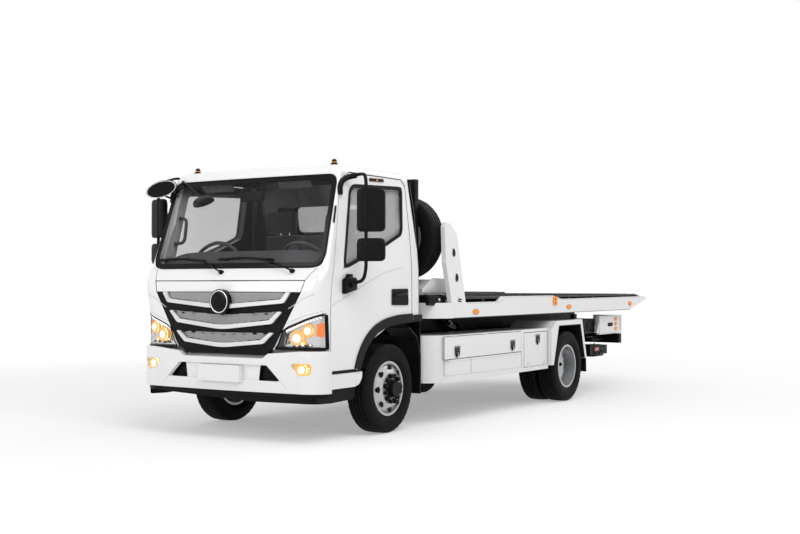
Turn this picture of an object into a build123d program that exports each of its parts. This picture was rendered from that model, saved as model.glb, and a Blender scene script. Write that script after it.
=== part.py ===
from build123d import *
import os
from math import atan, cos, pi, sin

# Slide-bed recovery truck with a forward-control cab, in millimetres.
# +X forward, +Y the vehicle's left, +Z up, ground at Z = 0, origin under the middle of the outline.

# ---- driving dimensions -------------------------------------------------
OVERALL_LENGTH = 7031
FRONT_OVERHANG = 1132
WHEELBASE = 3360
FRONT_AXLE_X = OVERALL_LENGTH / 2 - FRONT_OVERHANG
TYRE_R = 383.5
TYRE_WIDTH = 211
RIM_HALF_WIDTH = 87.5
RIM_SEAT_R = 222
RIM_FLANGE_R = 235
WHEEL_OFFSET = 115
FRONT_WHEEL_Y = 851.5
REAR_WHEEL_Y = (796.5, 1026.5)
BODY_HALF_WIDTH = 1100
FENDER_HALF_WIDTH = 1138
CAB_HALF_WIDTH = 960
CAB_WALL = 60
PANEL_GAP = 8
RUNNING_GAP = 0.05
RAIL_Y = (310, 375)
RAIL_Z = (600, 800)
RAIL_SKIN = 8
RAIL_FRONT, RAIL_REAR = 860, -5290
DECK_TOP = 1160
BED_BOTTOM = 969
BED_FRONT, BED_TAIL = -600, FRONT_OVERHANG - OVERALL_LENGTH
TILT_PIVOT = (-5230, 866)
CAB_PIVOT = (930, 560)
SKIRT_Z = (385, 816)
SKIRT_X = (-560, -2895)
SKIRT_DEPTH = 420
SHEET = 25
KINGPIN_Y = 735
KINGPIN_R = 16
SPINDLE_R = 28
HUB_R = 78
STUD_CIRCLE_R = 111
STUD_R = 11
UNDERLIFT_PIVOT = (-4420, 470)
PIVOT_PIN_R = 25
# Tilt cylinders: foot on the frame and rod eye on the tilt frame (station, height), and their width.
TILT_FOOT, TILT_EYE, TILT_Y = (-2700, 650), (-1900, 880), 440
SLIDE_AXIS_Z = 885
SLIDE_BARREL = (-4700, -1000)

os.makedirs("parts", exist_ok=True)


def ax(x):
    """Station measured from the front axle, forward positive."""
    return FRONT_AXLE_X + x


def side_view(points):
    """Points (station, height) of a side view as sketch points on the XZ plane."""
    return [(ax(x), z) for x, z in points]


def save(built, name):
    built.part.label = name
    export_step(built.part, f"parts/{name}.step")


def slab(x, y, z, mode=Mode.ADD):
    """Block between two stations, two widths and two heights."""
    with Locations((ax((x[0] + x[1]) / 2), (y[0] + y[1]) / 2, (z[0] + z[1]) / 2)):
        Box(abs(x[1] - x[0]), abs(y[1] - y[0]), abs(z[1] - z[0]), mode=mode)


def side_prism(points, y, mode=Mode.ADD):
    """Side-view outline carried from one width to another."""
    with BuildSketch(Plane.XZ.offset(-y[1])) as outline:
        with BuildLine():
            Polyline(*side_view(points), close=True)
        make_face()
    extrude(outline.sketch, amount=y[1] - y[0], mode=mode)


def plan_prism(points, z, mode=Mode.ADD):
    """Plan outline (station, width) carried from one height to another."""
    with BuildSketch(Plane.XY.offset(z[0])) as outline:
        with BuildLine():
            Polyline(*[(ax(x), y) for x, y in points], close=True)
        make_face()
    extrude(outline.sketch, amount=z[1] - z[0], mode=mode)


def rod_along_y(x, z, radius, y, mode=Mode.ADD):
    with BuildSketch(Plane.XZ.offset(-y[1])) as disc:
        with Locations((ax(x), z)):
            Circle(radius)
    extrude(disc.sketch, amount=y[1] - y[0], mode=mode)


def rod_along_x(x, y, z, radius, mode=Mode.ADD):
    with BuildSketch(Plane.YZ.offset(ax(x[0]))) as disc:
        with Locations((y, z)):
            Circle(radius)
    extrude(disc.sketch, amount=x[1] - x[0], mode=mode)


# ---- wheels -------------------------------------------------------------
# Wheel profiles are drawn as (axial, radial) about the wheel's own centre,
# axial positive outboard for side = +1; side = -1 turns the wheel round.

def wheel_plane(station, width, side):
    """Sketch plane through the axle: x is axial (outboard), y is radial."""
    return Plane(origin=(ax(station), width, TYRE_R), x_dir=(0, side, 0), z_dir=(side, 0, 0))


def turn_about_axle(section, plane):
    revolve(section.sketch, axis=Axis(plane.origin, plane.x_dir))


def tyre_section(plane):
    bead, shoulder, tread = 79, 97, 80
    with BuildSketch(plane) as section:
        with BuildLine():
            Line((-bead, RIM_SEAT_R + 0.3), (bead, RIM_SEAT_R + 0.3))
            Line((bead, RIM_SEAT_R + 0.3), (bead, 238))
            ThreePointArc((bead, 238), (TYRE_WIDTH / 2, 300), (shoulder, 362))
            Line((shoulder, 362), (tread, TYRE_R))
            Line((tread, TYRE_R), (-tread, TYRE_R))
            Line((-tread, TYRE_R), (-shoulder, 362))
            ThreePointArc((-shoulder, 362), (-TYRE_WIDTH / 2, 300), (-bead, 238))
            Line((-bead, 238), (-bead, RIM_SEAT_R + 0.3))
        make_face()
    turn_about_axle(section, plane)


def rim_section(plane, dish):
    """Rim barrel with its flanges, and the wheel disc on the side given by dish (+1 or -1)."""
    w, t = RIM_HALF_WIDTH, 8
    with BuildSketch(plane) as barrel:
        with BuildLine():
            Polyline((-w, RIM_FLANGE_R), (-w, RIM_SEAT_R - t), (w, RIM_SEAT_R - t), (w, RIM_FLANGE_R),
                     (w - t, RIM_FLANGE_R), (w - t, RIM_SEAT_R), (t - w, RIM_SEAT_R),
                     (t - w, RIM_FLANGE_R), close=True)
        make_face()
    turn_about_axle(barrel, plane)
    face, root = WHEEL_OFFSET * dish, 52 * dish
    skin = 10 * dish
    with BuildSketch(plane) as disc:
        with BuildLine():
            Line((root, 216), (root + skin, 216))
            ThreePointArc((root + skin, 216), (root + 3.4 * skin, 186), (face, 140))
            Line((face, 140), (face, HUB_R + 4))
            Line((face, HUB_R + 4), (face - skin, HUB_R + 4))
            Line((face - skin, HUB_R + 4), (face - skin, 134))
            ThreePointArc((face - skin, 134), (root + 2.2 * skin, 180), (root, 204))
            Line((root, 204), (root, 216))
        make_face()
    turn_about_axle(disc, plane)


def disc_holes(station, width, side):
    """Eight hand holes and six stud holes through the wheel disc."""
    disc_plane = Plane(origin=(ax(station), width, TYRE_R), x_dir=(1, 0, 0), z_dir=(0, side, 0))
    with BuildSketch(disc_plane) as holes:
        with PolarLocations(178, 8):
            Circle(20)
        with PolarLocations(STUD_CIRCLE_R, 6, start_angle=15):
            Circle(STUD_R + 1)
    extrude(holes.sketch, amount=WHEEL_OFFSET + 20, both=True, mode=Mode.SUBTRACT)


def hub_solid(station, flange_width, disc_span, nose, drum, drum_radius, side):
    """Hub with its flange inside the wheel disc, nose through the bore, studs and nuts, and brake drum."""
    plane = Plane(origin=(ax(station), flange_width, TYRE_R), x_dir=(1, 0, 0), z_dir=(0, side, 0))
    # Round steps of the hub: start and length along the axle, radius, taper.
    steps = ((-12, 12, STUD_CIRCLE_R + 21, 0), (-50, 38, 118, 0), (-drum, drum - 50, drum_radius, 0),
             (0, disc_span + 14, HUB_R, 0), (disc_span + 14, nose, HUB_R - 6, 9))
    for start, length, radius, taper in steps:
        with BuildSketch(plane.offset(start)) as step:
            Circle(radius)
        extrude(step.sketch, amount=length, taper=taper)
    with BuildSketch(plane) as studs:
        with PolarLocations(STUD_CIRCLE_R, 6, start_angle=15):
            Circle(STUD_R)
    extrude(studs.sketch, amount=disc_span)
    with BuildSketch(plane.offset(disc_span)) as nuts:
        with PolarLocations(STUD_CIRCLE_R, 6, start_angle=15):
            RegularPolygon(19, 6)
    extrude(nuts.sketch, amount=27)
    with BuildSketch(plane.offset(-drum)) as bore:
        Circle(SPINDLE_R + RUNNING_GAP)
    extrude(bore.sketch, amount=drum + 6, mode=Mode.SUBTRACT)


FRONT_FLANGE_Y = FRONT_WHEEL_Y + WHEEL_OFFSET - 10
REAR_FLANGE_Y = sum(REAR_WHEEL_Y) / 2 - 10
SIDES = (("left", 1), ("right", -1))

for hand, side in SIDES:
    centre = wheel_plane(0, side * FRONT_WHEEL_Y, side)
    with BuildPart() as front_tyre:
        tyre_section(centre)
    save(front_tyre, f"tyre_front_{hand}")
    with BuildPart() as front_rim:
        rim_section(centre, 1)
        disc_holes(0, side * FRONT_WHEEL_Y, side)
    save(front_rim, f"rim_front_{hand}")
    with BuildPart() as front_hub:
        hub_solid(0, side * FRONT_FLANGE_Y, 10, 40, 150, 150, side)
    save(front_hub, f"hub_front_{hand}")

    inner, outer = [wheel_plane(-WHEELBASE, side * y, side) for y in REAR_WHEEL_Y]
    with BuildPart() as rear_tyres:
        tyre_section(inner)
        tyre_section(outer)
    save(rear_tyres, f"tyres_rear_{hand}")
    with BuildPart() as rear_rims:
        rim_section(inner, 1)
        rim_section(outer, -1)
        disc_holes(-WHEELBASE, side * sum(REAR_WHEEL_Y) / 2, side)
    save(rear_rims, f"rims_rear_{hand}")
    with BuildPart() as rear_hub:
        hub_solid(-WHEELBASE, side * REAR_FLANGE_Y, 20, 45, 210, 165, side)
    save(rear_hub, f"hub_rear_{hand}")

# ---- axles, springs and steering knuckles -------------------------------
SPRING_Y = (320, 390)
ENGINE_REAR = -650
EYE_HALF_HEIGHT = 52

with BuildPart() as front_axle:
    slab((-40, 40), (-660, 660), (TYRE_R - 42, TYRE_R + 38))
    for _, side in SIDES:
        with BuildSketch(Plane.XY.offset(TYRE_R - EYE_HALF_HEIGHT)):
            with Locations((ax(0), side * KINGPIN_Y)):
                Circle(42)
            with Locations((ax(0), side * 680)):
                Rectangle(84, 110)
        extrude(amount=2 * EYE_HALF_HEIGHT)
    with Locations(*[(ax(0), side * KINGPIN_Y, TYRE_R) for _, side in SIDES]):
        Cylinder(KINGPIN_R + RUNNING_GAP, 400, mode=Mode.SUBTRACT)
save(front_axle, "front_axle")

for hand, side in SIDES:
    with BuildPart() as knuckle:
        for low in (EYE_HALF_HEIGHT + 3, -EYE_HALF_HEIGHT - 31):
            with BuildSketch(Plane.XY.offset(TYRE_R + low)):
                with Locations((ax(0), side * KINGPIN_Y)):
                    Circle(36)
                with Locations((ax(0), side * (KINGPIN_Y + 30))):
                    Rectangle(64, 50)
            extrude(amount=28)
        slab((-32, 32), sorted((side * 781, side * 804)), (TYRE_R - 83, TYRE_R + 83))
        with Locations((ax(0), side * KINGPIN_Y, TYRE_R)):
            Cylinder(KINGPIN_R, 2 * EYE_HALF_HEIGHT + 62)
        rod_along_y(0, TYRE_R, SPINDLE_R, sorted((side * 800, side * (FRONT_FLANGE_Y + 2))))
    save(knuckle, f"knuckle_{hand}")

with BuildPart() as rear_axle:
    rod_along_y(-WHEELBASE, TYRE_R, 55, (-650, 650))
    rod_along_y(-WHEELBASE, TYRE_R, SPINDLE_R, (-REAR_FLANGE_Y, REAR_FLANGE_Y))
    with Locations((ax(-WHEELBASE), 0, TYRE_R)):
        Sphere(165)
    rod_along_x((-WHEELBASE + 140, -WHEELBASE + 260), 0, TYRE_R, 62)
    slab((-WHEELBASE + 240, -WHEELBASE + 330), (-45, 45), (TYRE_R - 40, TYRE_R + 100))
    rod_along_x((-WHEELBASE + 320, ENGINE_REAR), 0, TYRE_R + 60, 45)
save(rear_axle, "rear_axle")

SPRINGS = ((0, 620, TYRE_R + 38, 590), (-WHEELBASE, 640, TYRE_R + 55, 590))
with BuildPart() as leaf_springs:
    for station, half_span, seat, tip in SPRINGS:
        for _, side in SIDES:
            width = sorted((side * SPRING_Y[0], side * SPRING_Y[1]))
            with BuildSketch(Plane.XZ.offset(-width[1])):
                with BuildLine():
                    ThreePointArc((ax(station - half_span), tip), (ax(station), seat),
                                  (ax(station + half_span), tip))
                    Line((ax(station + half_span), tip), (ax(station + half_span - 60), tip))
                    ThreePointArc((ax(station + half_span - 60), tip), (ax(station), seat + 60),
                                  (ax(station - half_span + 60), tip))
                    Line((ax(station - half_span + 60), tip), (ax(station - half_span), tip))
                make_face()
            extrude(amount=width[1] - width[0])
save(leaf_springs, "leaf_springs")

# ---- ladder frame -------------------------------------------------------
CROSS_STATIONS = (780, -700, -1445, -2190, -2935, -3680, -4425, -5170)
HINGE_EYE_R = 22
with BuildPart() as ladder_frame:
    for _, side in SIDES:
        outer = sorted((side * RAIL_Y[0], side * RAIL_Y[1]))
        inner = sorted((side * (RAIL_Y[0] - 1), side * (RAIL_Y[1] - RAIL_SKIN)))
        slab((RAIL_REAR, RAIL_FRONT), outer, RAIL_Z)
        slab((RAIL_REAR, RAIL_FRONT), inner, (RAIL_Z[0] + RAIL_SKIN, RAIL_Z[1] - RAIL_SKIN), Mode.SUBTRACT)
    for station in CROSS_STATIONS:
        slab((station - 40, station + 40), (-RAIL_Y[1] + 4, RAIL_Y[1] - 4), (RAIL_Z[0] + 4, RAIL_Z[1] - 4))
    for station, half_span, _, tip in SPRINGS:
        for end in (-half_span + 30, half_span - 30):
            for _, side in SIDES:
                slab((station + end - 30, station + end + 30), sorted((side * 322, side * 388)),
                     (tip, RAIL_Z[0] + 10))
    for _, side in SIDES:
        # cab hinge bracket, rear cab rest, tilt hinge ear, under-run bar end, underlift hanger
        slab((810, 930), sorted((side * 330, side * 375)), (530, 700))
        rod_along_y(*CAB_PIVOT, 38, sorted((side * 330, side * 375)))
        slab((-470, -440), sorted((side * 310, side * 375)), (799, 924))
        slab((-5270, -5190), sorted((side * 370, side * 402)), (700, 795))
        slab((-5270, -5190), sorted((side * 381, side * 402)), (700, 905))
        rod_along_y(*TILT_PIVOT, PIVOT_PIN_R, sorted((side * 300, side * 402)))
        slab((-5265, -5185), sorted((side * 420, side * 1000)), (556, 672))
        slab((-4480, -4360), sorted((side * 96, side * 120)), (425, 610))
        rod_along_y(*TILT_FOOT, 20, sorted((side * 370, side * 486)))
    rod_along_y(*CAB_PIVOT, HINGE_EYE_R, (-460, 460))
    slab((-5265, -5185), (-1000, 1000), (556, RAIL_Z[0]))
    rod_along_y(*UNDERLIFT_PIVOT, PIVOT_PIN_R, (-120, 120))
save(ladder_frame, "ladder_frame")

with BuildPart() as engine_block:
    slab((ENGINE_REAR, 560), (-270, 270), (520, 840))
    slab((ENGINE_REAR, ENGINE_REAR + 60), (-90, 90), (TYRE_R, 521))
save(engine_block, "engine_block")

# ---- skirts with their tool boxes ---------------------------------------
# Doors: station of the front and rear edge, bottom and top height, hinge line at "top" or "bottom".
BOX_DOORS = ((-680, -2250, 598, 806, "top"), (-2313, -2880, 433, 786, "bottom"))
SKIRT_ARMS = (-1000, -2250, -2850)
CORNER_R = 250


def rounded_front(front, rear, half_width, depth):
    """Plan outline with a side wall, a rounded front corner and a front wall, on the left side."""
    side_end = (ax(front - CORNER_R), half_width)
    turn = (ax(front - CORNER_R * (1 - sin(pi / 4))), half_width - CORNER_R * (1 - cos(pi / 4)))
    nose = (ax(front), half_width - CORNER_R)
    with BuildLine() as outline:
        Line((ax(rear), half_width), side_end)
        ThreePointArc(side_end, turn, nose)
        Polyline(nose, (ax(front), half_width - depth), (ax(rear), half_width - depth), (ax(rear), half_width))
    return outline.edges()


with BuildPart() as skirts:
    with BuildSketch(Plane.XY.offset(SKIRT_Z[0])):
        make_face(rounded_front(*SKIRT_X, BODY_HALF_WIDTH, SKIRT_DEPTH))
    extrude(amount=SKIRT_Z[1] - SKIRT_Z[0])
    inner_y = (BODY_HALF_WIDTH - SKIRT_DEPTH + SHEET, BODY_HALF_WIDTH - SHEET)
    for front, rear in ((-860, -2265), (-2298, SKIRT_X[1] + 12)):
        slab((rear, front), inner_y, (SKIRT_Z[0] + SHEET, SKIRT_Z[1] - 10), Mode.SUBTRACT)
    for front, rear, low, high, _ in BOX_DOORS:
        slab((rear, front), (BODY_HALF_WIDTH - SHEET - 1, BODY_HALF_WIDTH + 1), (low - 6, high), Mode.SUBTRACT)
    for station in SKIRT_ARMS:
        slab((station - 30, station + 30), (RAIL_Y[1], BODY_HALF_WIDTH - SKIRT_DEPTH), (610, 660))
    mirror(about=Plane.XZ)
save(skirts, "skirts")

for hand, side in SIDES:
    for (front, rear, low, high, _), name in zip(BOX_DOORS, ("long", "rear")):
        with BuildPart() as box_door:
            slab((rear + 6, front - 6), sorted((side * (BODY_HALF_WIDTH - SHEET), side * BODY_HALF_WIDTH)),
                 (low, high - 6))
        save(box_door, f"box_door_{name}_{hand}")

# ---- rear wheel arches --------------------------------------------------
ARCH_OUTER = ((-2900, 418), (-2900, 800), (-3035, 886), (-3722, 888), (-3850, 447))
ARCH_INNER = ((-2960, 418), (-3095, 836), (-3684, 836), (-3805, 447))
with BuildPart() as rear_fenders:
    side_prism(ARCH_OUTER + ARCH_INNER[::-1], (640, FENDER_HALF_WIDTH))
    slab((-3430, -3350), (RAIL_Y[1], 660), (740, 790))
    slab((-3430, -3350), (640, 660), (740, 838))
    mirror(about=Plane.XZ)
save(rear_fenders, "rear_fenders")

# ---- tail lamp boxes ---------------------------------
with BuildPart() as tail_lamp_boxes:
    for _, side in SIDES:
        slab((-5270, -4560), sorted((side * 960, side * 1000)), (680, 900))
        slab((-5270, -5230), sorted((side * 640, side * 1000)), (680, 900))
        slab((-4600, -4560), sorted((side * RAIL_Y[1], side * 1000)), (700, 790))
save(tail_lamp_boxes, "tail_lamp_boxes")

# ---- tilt frame and its cylinders ---------------------------------------
with BuildPart() as tilt_frame:
    for _, side in SIDES:
        slab((-5262, -860), sorted((side * 305, side * 375)), (815, 945))
        rod_along_y(*TILT_EYE, 44, sorted((side * 370, side * 388)))
    for station in (-1040, -1770, -2500, -3230, -3960, -4650):
        slab((station - 40, station + 40), (-306, 306), (830, 945))
    slab((-5220, -5140), (-306, 306), (815, 840))
    rod_along_x(SLIDE_BARREL, 0, SLIDE_AXIS_Z, 50)
    rod_along_x((SLIDE_BARREL[0] - 1, SLIDE_BARREL[1] - 60), 0, SLIDE_AXIS_Z, 30 + RUNNING_GAP, Mode.SUBTRACT)
    rod_along_y(*TILT_PIVOT, PIVOT_PIN_R + RUNNING_GAP, (-380, 380), Mode.SUBTRACT)
save(tilt_frame, "tilt_frame")

cylinder_lean = Vector(TILT_EYE[0] - TILT_FOOT[0], 0, TILT_EYE[1] - TILT_FOOT[1])
CYLINDER_LENGTH = cylinder_lean.length
BARREL_LENGTH, ROD_R, BARREL_R, EYE_R = 640, 25, 44, 36
ROD_START = 70


def cylinder_plane(distance):
    """Plane across the left tilt cylinder, at a distance from its foot towards its eye."""
    foot = Vector(ax(TILT_FOOT[0]), TILT_Y, TILT_FOOT[1])
    return Plane(origin=foot + cylinder_lean.normalized() * distance, x_dir=(0, 1, 0), z_dir=cylinder_lean)


with BuildPart() as tilt_barrels:
    with BuildSketch(cylinder_plane(30)):
        Circle(BARREL_R)
    extrude(amount=BARREL_LENGTH)
    rod_along_y(*TILT_FOOT, EYE_R, (TILT_Y - 25, TILT_Y + 25))
    with BuildSketch(cylinder_plane(ROD_START - 10)):
        Circle(ROD_R + RUNNING_GAP)
    extrude(amount=BARREL_LENGTH, mode=Mode.SUBTRACT)
    rod_along_y(*TILT_FOOT, 20 + RUNNING_GAP, (TILT_Y - 60, TILT_Y + 60), Mode.SUBTRACT)
    mirror(about=Plane.XZ)
save(tilt_barrels, "tilt_barrels")

with BuildPart() as tilt_rods:
    with BuildSketch(cylinder_plane(ROD_START)):
        Circle(ROD_R)
    extrude(amount=CYLINDER_LENGTH - ROD_START - EYE_R + 10)
    rod_along_y(*TILT_EYE, EYE_R, (TILT_Y - 25, TILT_Y + 25))
    rod_along_y(*TILT_EYE, 20, (396, TILT_Y + 45))
    mirror(about=Plane.XZ)
save(tilt_rods, "tilt_rods")

# ---- sliding bed --------------------------------------------------------
# Side-rail outline: station and height of its top edge, front to rear.
RAIL_TOP = ((-1090, 1111), (-1790, 1111), (-1900, DECK_TOP), (-3020, DECK_TOP), (-3250, 1121), (-5794, 1129))
HEADBOARD_PLATE = ((-820, 1100), (-711, 1482), (-693, 1800), (-715, 1844), (-790, 1835), (-915, 1743),
                   (-990, 1449), (-1085, 1100))
# Lashing holes of a headboard: station and height of the centre of each round end.
LASHING_HOLES = ((-858, 1562), (-914, 1333))
RAIL_WALL = 60
LASHING_R = 34
RIB_STATIONS = (-1540, -2220, -2900, -3580, -4260, -5220, -5680)
SLIDE_LUG = (-4800, -4765)
with BuildPart() as bed_frame:
    side_prism(((-850, BED_BOTTOM), (-850, 1111)) + RAIL_TOP + ((BED_TAIL, 1100), (-5379, 989), (-5300, BED_BOTTOM)),
               (BODY_HALF_WIDTH - RAIL_WALL, BODY_HALF_WIDTH))
    with BuildSketch(Plane.XY.offset(BED_BOTTOM)):
        make_face(rounded_front(BED_FRONT, BED_FRONT - CORNER_R - 10, BODY_HALF_WIDTH, BODY_HALF_WIDTH))
    extrude(amount=1111 - BED_BOTTOM)
    slab((-870, -850), (0, BODY_HALF_WIDTH - 30), (BED_BOTTOM, DECK_TOP - 20))
    side_prism(HEADBOARD_PLATE, (BODY_HALF_WIDTH - 45, BODY_HALF_WIDTH))
    for station, height in LASHING_HOLES:
        rod_along_y(station, height, LASHING_R, (1000, 1150), Mode.SUBTRACT)
        side_prism(((station + 26, height - 10), (station + 26, height + 46), (station - 6, height + 50),
                    (station - 30, height + 16)), (1000, 1150), Mode.SUBTRACT)
    mirror(about=Plane.XZ)
save(bed_frame, "bed_frame")

with BuildPart() as bed_ribs:
    for station in RIB_STATIONS:
        slab((station - 30, station + 30), (RAIL_WALL - BODY_HALF_WIDTH, BODY_HALF_WIDTH - RAIL_WALL),
             (1100, DECK_TOP - 20 if station > -5640 else 1112))
save(bed_ribs, "bed_ribs")

with BuildPart() as bed_runners:
    for _, side in SIDES:
        slab((-5300, -870), sorted((side * 310, side * 370)), (950, 1100))
    slab((SLIDE_LUG[0] - 30, SLIDE_LUG[1]), (-311, 311), (1040, 1100))
    slab(SLIDE_LUG, (-60, 60), (855, 1041))
    rod_along_x((SLIDE_LUG[1] - 1, SLIDE_BARREL[1] - 100), 0, SLIDE_AXIS_Z, 30)
save(bed_runners, "bed_runners")

with BuildPart() as deck:
    slab((-5640, -870), (-BODY_HALF_WIDTH + RAIL_WALL, BODY_HALF_WIDTH - RAIL_WALL), (DECK_TOP - 20, DECK_TOP))
    side_prism(((-5640, DECK_TOP - 20), (-5640, DECK_TOP), (BED_TAIL, 1113), (BED_TAIL, 1101), (-5720, 1113)),
               (-BODY_HALF_WIDTH + RAIL_WALL, BODY_HALF_WIDTH - RAIL_WALL))
    side_prism(((-1010, DECK_TOP - 1), (-1070, 1195), (-2260, 1203), (-2370, DECK_TOP - 1)), (-900, 900))
save(deck, "deck")

WINCH_AXIS = (-660, 1146)
with BuildPart() as winch_cover:
    side_prism(((-640, 1182), (-640, 1240), (-760, 1325), (-960, 1325), (-960, 1182)), (-930, 930))
    slab((-850, -700), (-420, 420), (1111, 1181))
save(winch_cover, "winch_cover")

with BuildPart() as winch:
    for reach in ((-960, -430), (430, 960)):
        rod_along_y(WINCH_AXIS[0], WINCH_AXIS[1], 34, reach)
    rod_along_y(WINCH_AXIS[0], WINCH_AXIS[1], 33, (-431, 431))
save(winch, "winch")

SPARE = (-690, 660, 1325 + TYRE_R)
spare_plane = Plane(origin=(ax(SPARE[0]), SPARE[1], SPARE[2]), x_dir=(1, 0, 0), z_dir=(0, -1, 0))
with BuildPart() as spare_tyre:
    tyre_section(spare_plane)
save(spare_tyre, "spare_tyre")
with BuildPart() as spare_rim:
    rim_section(spare_plane, -1)
save(spare_rim, "spare_rim")

# ---- underlift ----------------------------------------------------------
with BuildPart() as underlift_boom:
    slab((-5170, -4360), (-90, 90), (405, 535))
    slab((-5171, -4470), (-80, 80), (415, 525), Mode.SUBTRACT)
    rod_along_y(*UNDERLIFT_PIVOT, PIVOT_PIN_R + RUNNING_GAP, (-100, 100), Mode.SUBTRACT)
save(underlift_boom, "underlift_boom")
with BuildPart() as underlift_bar:
    slab((-5190, -4480), (-75, 75), (420, 520))
    slab((-5290, -5180), (-800, 800), (415, 525))
    for _, side in SIDES:
        slab((-5181, -4700), sorted((side * 650, side * 760)), (425, 515))
        slab((-4790, -4700), sorted((side * 640, side * 820)), (418, 545))
save(underlift_bar, "underlift_bar")

# ---- cab ----------------------------------------------------------------
# Cab body, bottom to top: height, front at the centre line, half width, corner size across and along, rear.
CAB_SECTIONS = (
    (560, 1060, 960, 200, 165, -505),
    (1050, 1062, 960, 200, 165, -503),
    (1225, 1064, 960, 120, 110, -501),
    (1310, 1048, 960, 70, 75, -500),
    (1360, 1014, 960, 50, 55, -498),
    (1415, 966, 960, 38, 45, -497),
    (1570, 915, 949, 38, 45, -495),
    (2205, 705, 901, 38, 45, -400),
    (2240, 686, 880, 45, 50, -366),
    (2266, 652, 845, 60, 60, -325),
    (2292, 520, 740, 80, 80, -230),
)
# Bottom of the cab: raised behind the bumper, level sill under the door, then up and over the front wheel.
CAB_FLOOR = ((1300, 752), (890, 752), (890, 579), (512, 579), (330, 808), (62, 918), (-140, 955), (-700, 968), (-700, 2600), (1300, 2600))
BOW_R = 13000


def bow(y):
    """How far the cab's front falls back at a distance from the centre line."""
    return y * y / (2 * BOW_R)


def cab_section(height, front, half_width, across, along, rear, inset):
    """Plan outline of the cab at one height: bowed front, rounded front corners, small rear corners."""
    front, half_width, rear = front - inset, half_width - inset, rear + inset
    corner = half_width - across
    nose = (front - bow(corner), corner)
    cheek = (front - bow(corner) - along, half_width)
    turn = (cheek[0] + 0.707 * along, corner + 0.707 * across)
    back = 40
    with BuildSketch(Plane.XY.offset(height)) as section:
        with BuildLine():
            ThreePointArc((ax(nose[0]), -nose[1]), (ax(front), 0), (ax(nose[0]), nose[1]))
            for side in (1, -1):
                ThreePointArc((ax(nose[0]), side * nose[1]), (ax(turn[0]), side * turn[1]),
                              (ax(cheek[0]), side * cheek[1]))
                Line((ax(cheek[0]), side * half_width), (ax(rear + back), side * half_width))
                Line((ax(rear + back), side * half_width), (ax(rear), side * (half_width - back)))
            Line((ax(rear), half_width - back), (ax(rear), back - half_width))
        make_face()
    return section.sketch


def cab_envelope(inset):
    """Solid outline of the cab, drawn in by inset: lofted sections, cut along the floor line."""
    top = CAB_SECTIONS[-1][0] - inset
    rows = [row for row in CAB_SECTIONS[:-1] if row[0] < top] + [(top,) + CAB_SECTIONS[-1][1:]]
    with BuildPart() as envelope:
        loft([cab_section(*row, inset) for row in rows], ruled=True)
        with BuildSketch(Plane.XZ.offset(-1000)) as floor:
            with BuildLine():
                Polyline(*side_view(CAB_FLOOR), close=True)
            make_face()
            if inset:
                offset(amount=-inset, kind=Kind.INTERSECTION, mode=Mode.REPLACE)
        extrude(floor.sketch, amount=2000, mode=Mode.INTERSECT)
    return envelope.part


DOOR_OUTLINE = ((882, 579), (882, 1150), (865, 1300), (700, 2030), (620, 2165), (540, 2200), (-250, 2198),
                (-310, 2140), (-340, 1700), (-345, 1000), (-345, 958), (-140, 955), (62, 918), (330, 808), (512, 579))
WINDOW = ((712, 1400), (88, 1600), (-200, 1712), (-225, 1760), (-262, 2135), (500, 2105), (560, 2060))
DOOR_INNER_Y = 835
# Trim over the wheel arch, its lower edge then its upper edge; the door carries all but the rear end.
ARCH_TRIM = ((500, 594), (330, 808), (62, 918), (-140, 955), (-345, 958), (-345, 1003), (-132, 1000), (78, 962),
             (362, 842), (540, 612), (540, 579), (512, 579))
ARCH_TRIM_REAR = ((-353, 959), (-503, 964), (-503, 1008), (-353, 1004))
TRIM_PROUD = 12
HANDLE_X, HANDLE_Z = (-270, -15), (1095, 1240)
# Front view of the service lid and of the left headlamp: width and height.
FRONT_LID = ((800, 1305), (772, 1218), (588, 905), (530, 800), (500, 757), (455, 700))
HEADLAMP = ((528, 757), (560, 800), (604, 905), (660, 938), (952, 1046), (1000, 1046), (1000, 757))
# Silver grille bars: front at the centre line, outer tip and centre height of the top edge, lower corner, low point.
GRILLE_BARS = (
    (1104, (690, 1216), 1216, (628, 1129), 1076),
    (1098, (608, 1060), 1030, (510, 961), 908),
    (1092, (526, 890), 884, (424, 799), 760),
)
BAR_FRAME = 36
# Round badge: height, radius and front station.
EMBLEM = (1137, 103, 1126)
FOG_LAMP = ((698, 628), (716, 650), (872, 650), (884, 625), (878, 575), (850, 552), (770, 556))
VENT = ((404, 622), (452, 622), (579, 505), (388, 505))


def along(start, end):
    """Points beside a line of the side view: s along it, d outboard of it."""
    length = ((end[0] - start[0]) ** 2 + (end[1] - start[1]) ** 2) ** 0.5
    ux, uz = (end[0] - start[0]) / length, (end[1] - start[1]) / length
    return lambda s, d: (start[0] + ux * s + uz * d, start[1] + uz * s - ux * d)


def strip(line, s, d, y, mode=Mode.ADD):
    """Flat strip along a side-view line, such as a pane or the opening for it."""
    side_prism((line(s[0], d[0]), line(s[1], d[0]), line(s[1], d[1]), line(s[0], d[1])), y, mode)


def front_cut(points, x, mode=Mode.ADD, gap=0):
    """Front-view outline (width, height) carried from one station to another."""
    with BuildSketch(Plane.YZ.offset(ax(x[0]))) as outline:
        with BuildLine():
            Polyline(*points, close=True)
        make_face()
        if gap:
            offset(amount=gap, kind=Kind.INTERSECTION, mode=Mode.REPLACE)
    extrude(outline.sketch, amount=x[1] - x[0], mode=mode)


def door_cut(gap, y):
    """Door outline carried through the cab's side, grown by the gap around the door."""
    with BuildSketch(Plane.XZ.offset(-y[1])) as outline:
        with BuildLine():
            Polyline(*side_view(DOOR_OUTLINE), close=True)
        make_face()
        if gap:
            offset(amount=gap, kind=Kind.INTERSECTION, mode=Mode.REPLACE)
    extrude(outline.sketch, amount=y[1] - y[0])


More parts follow.
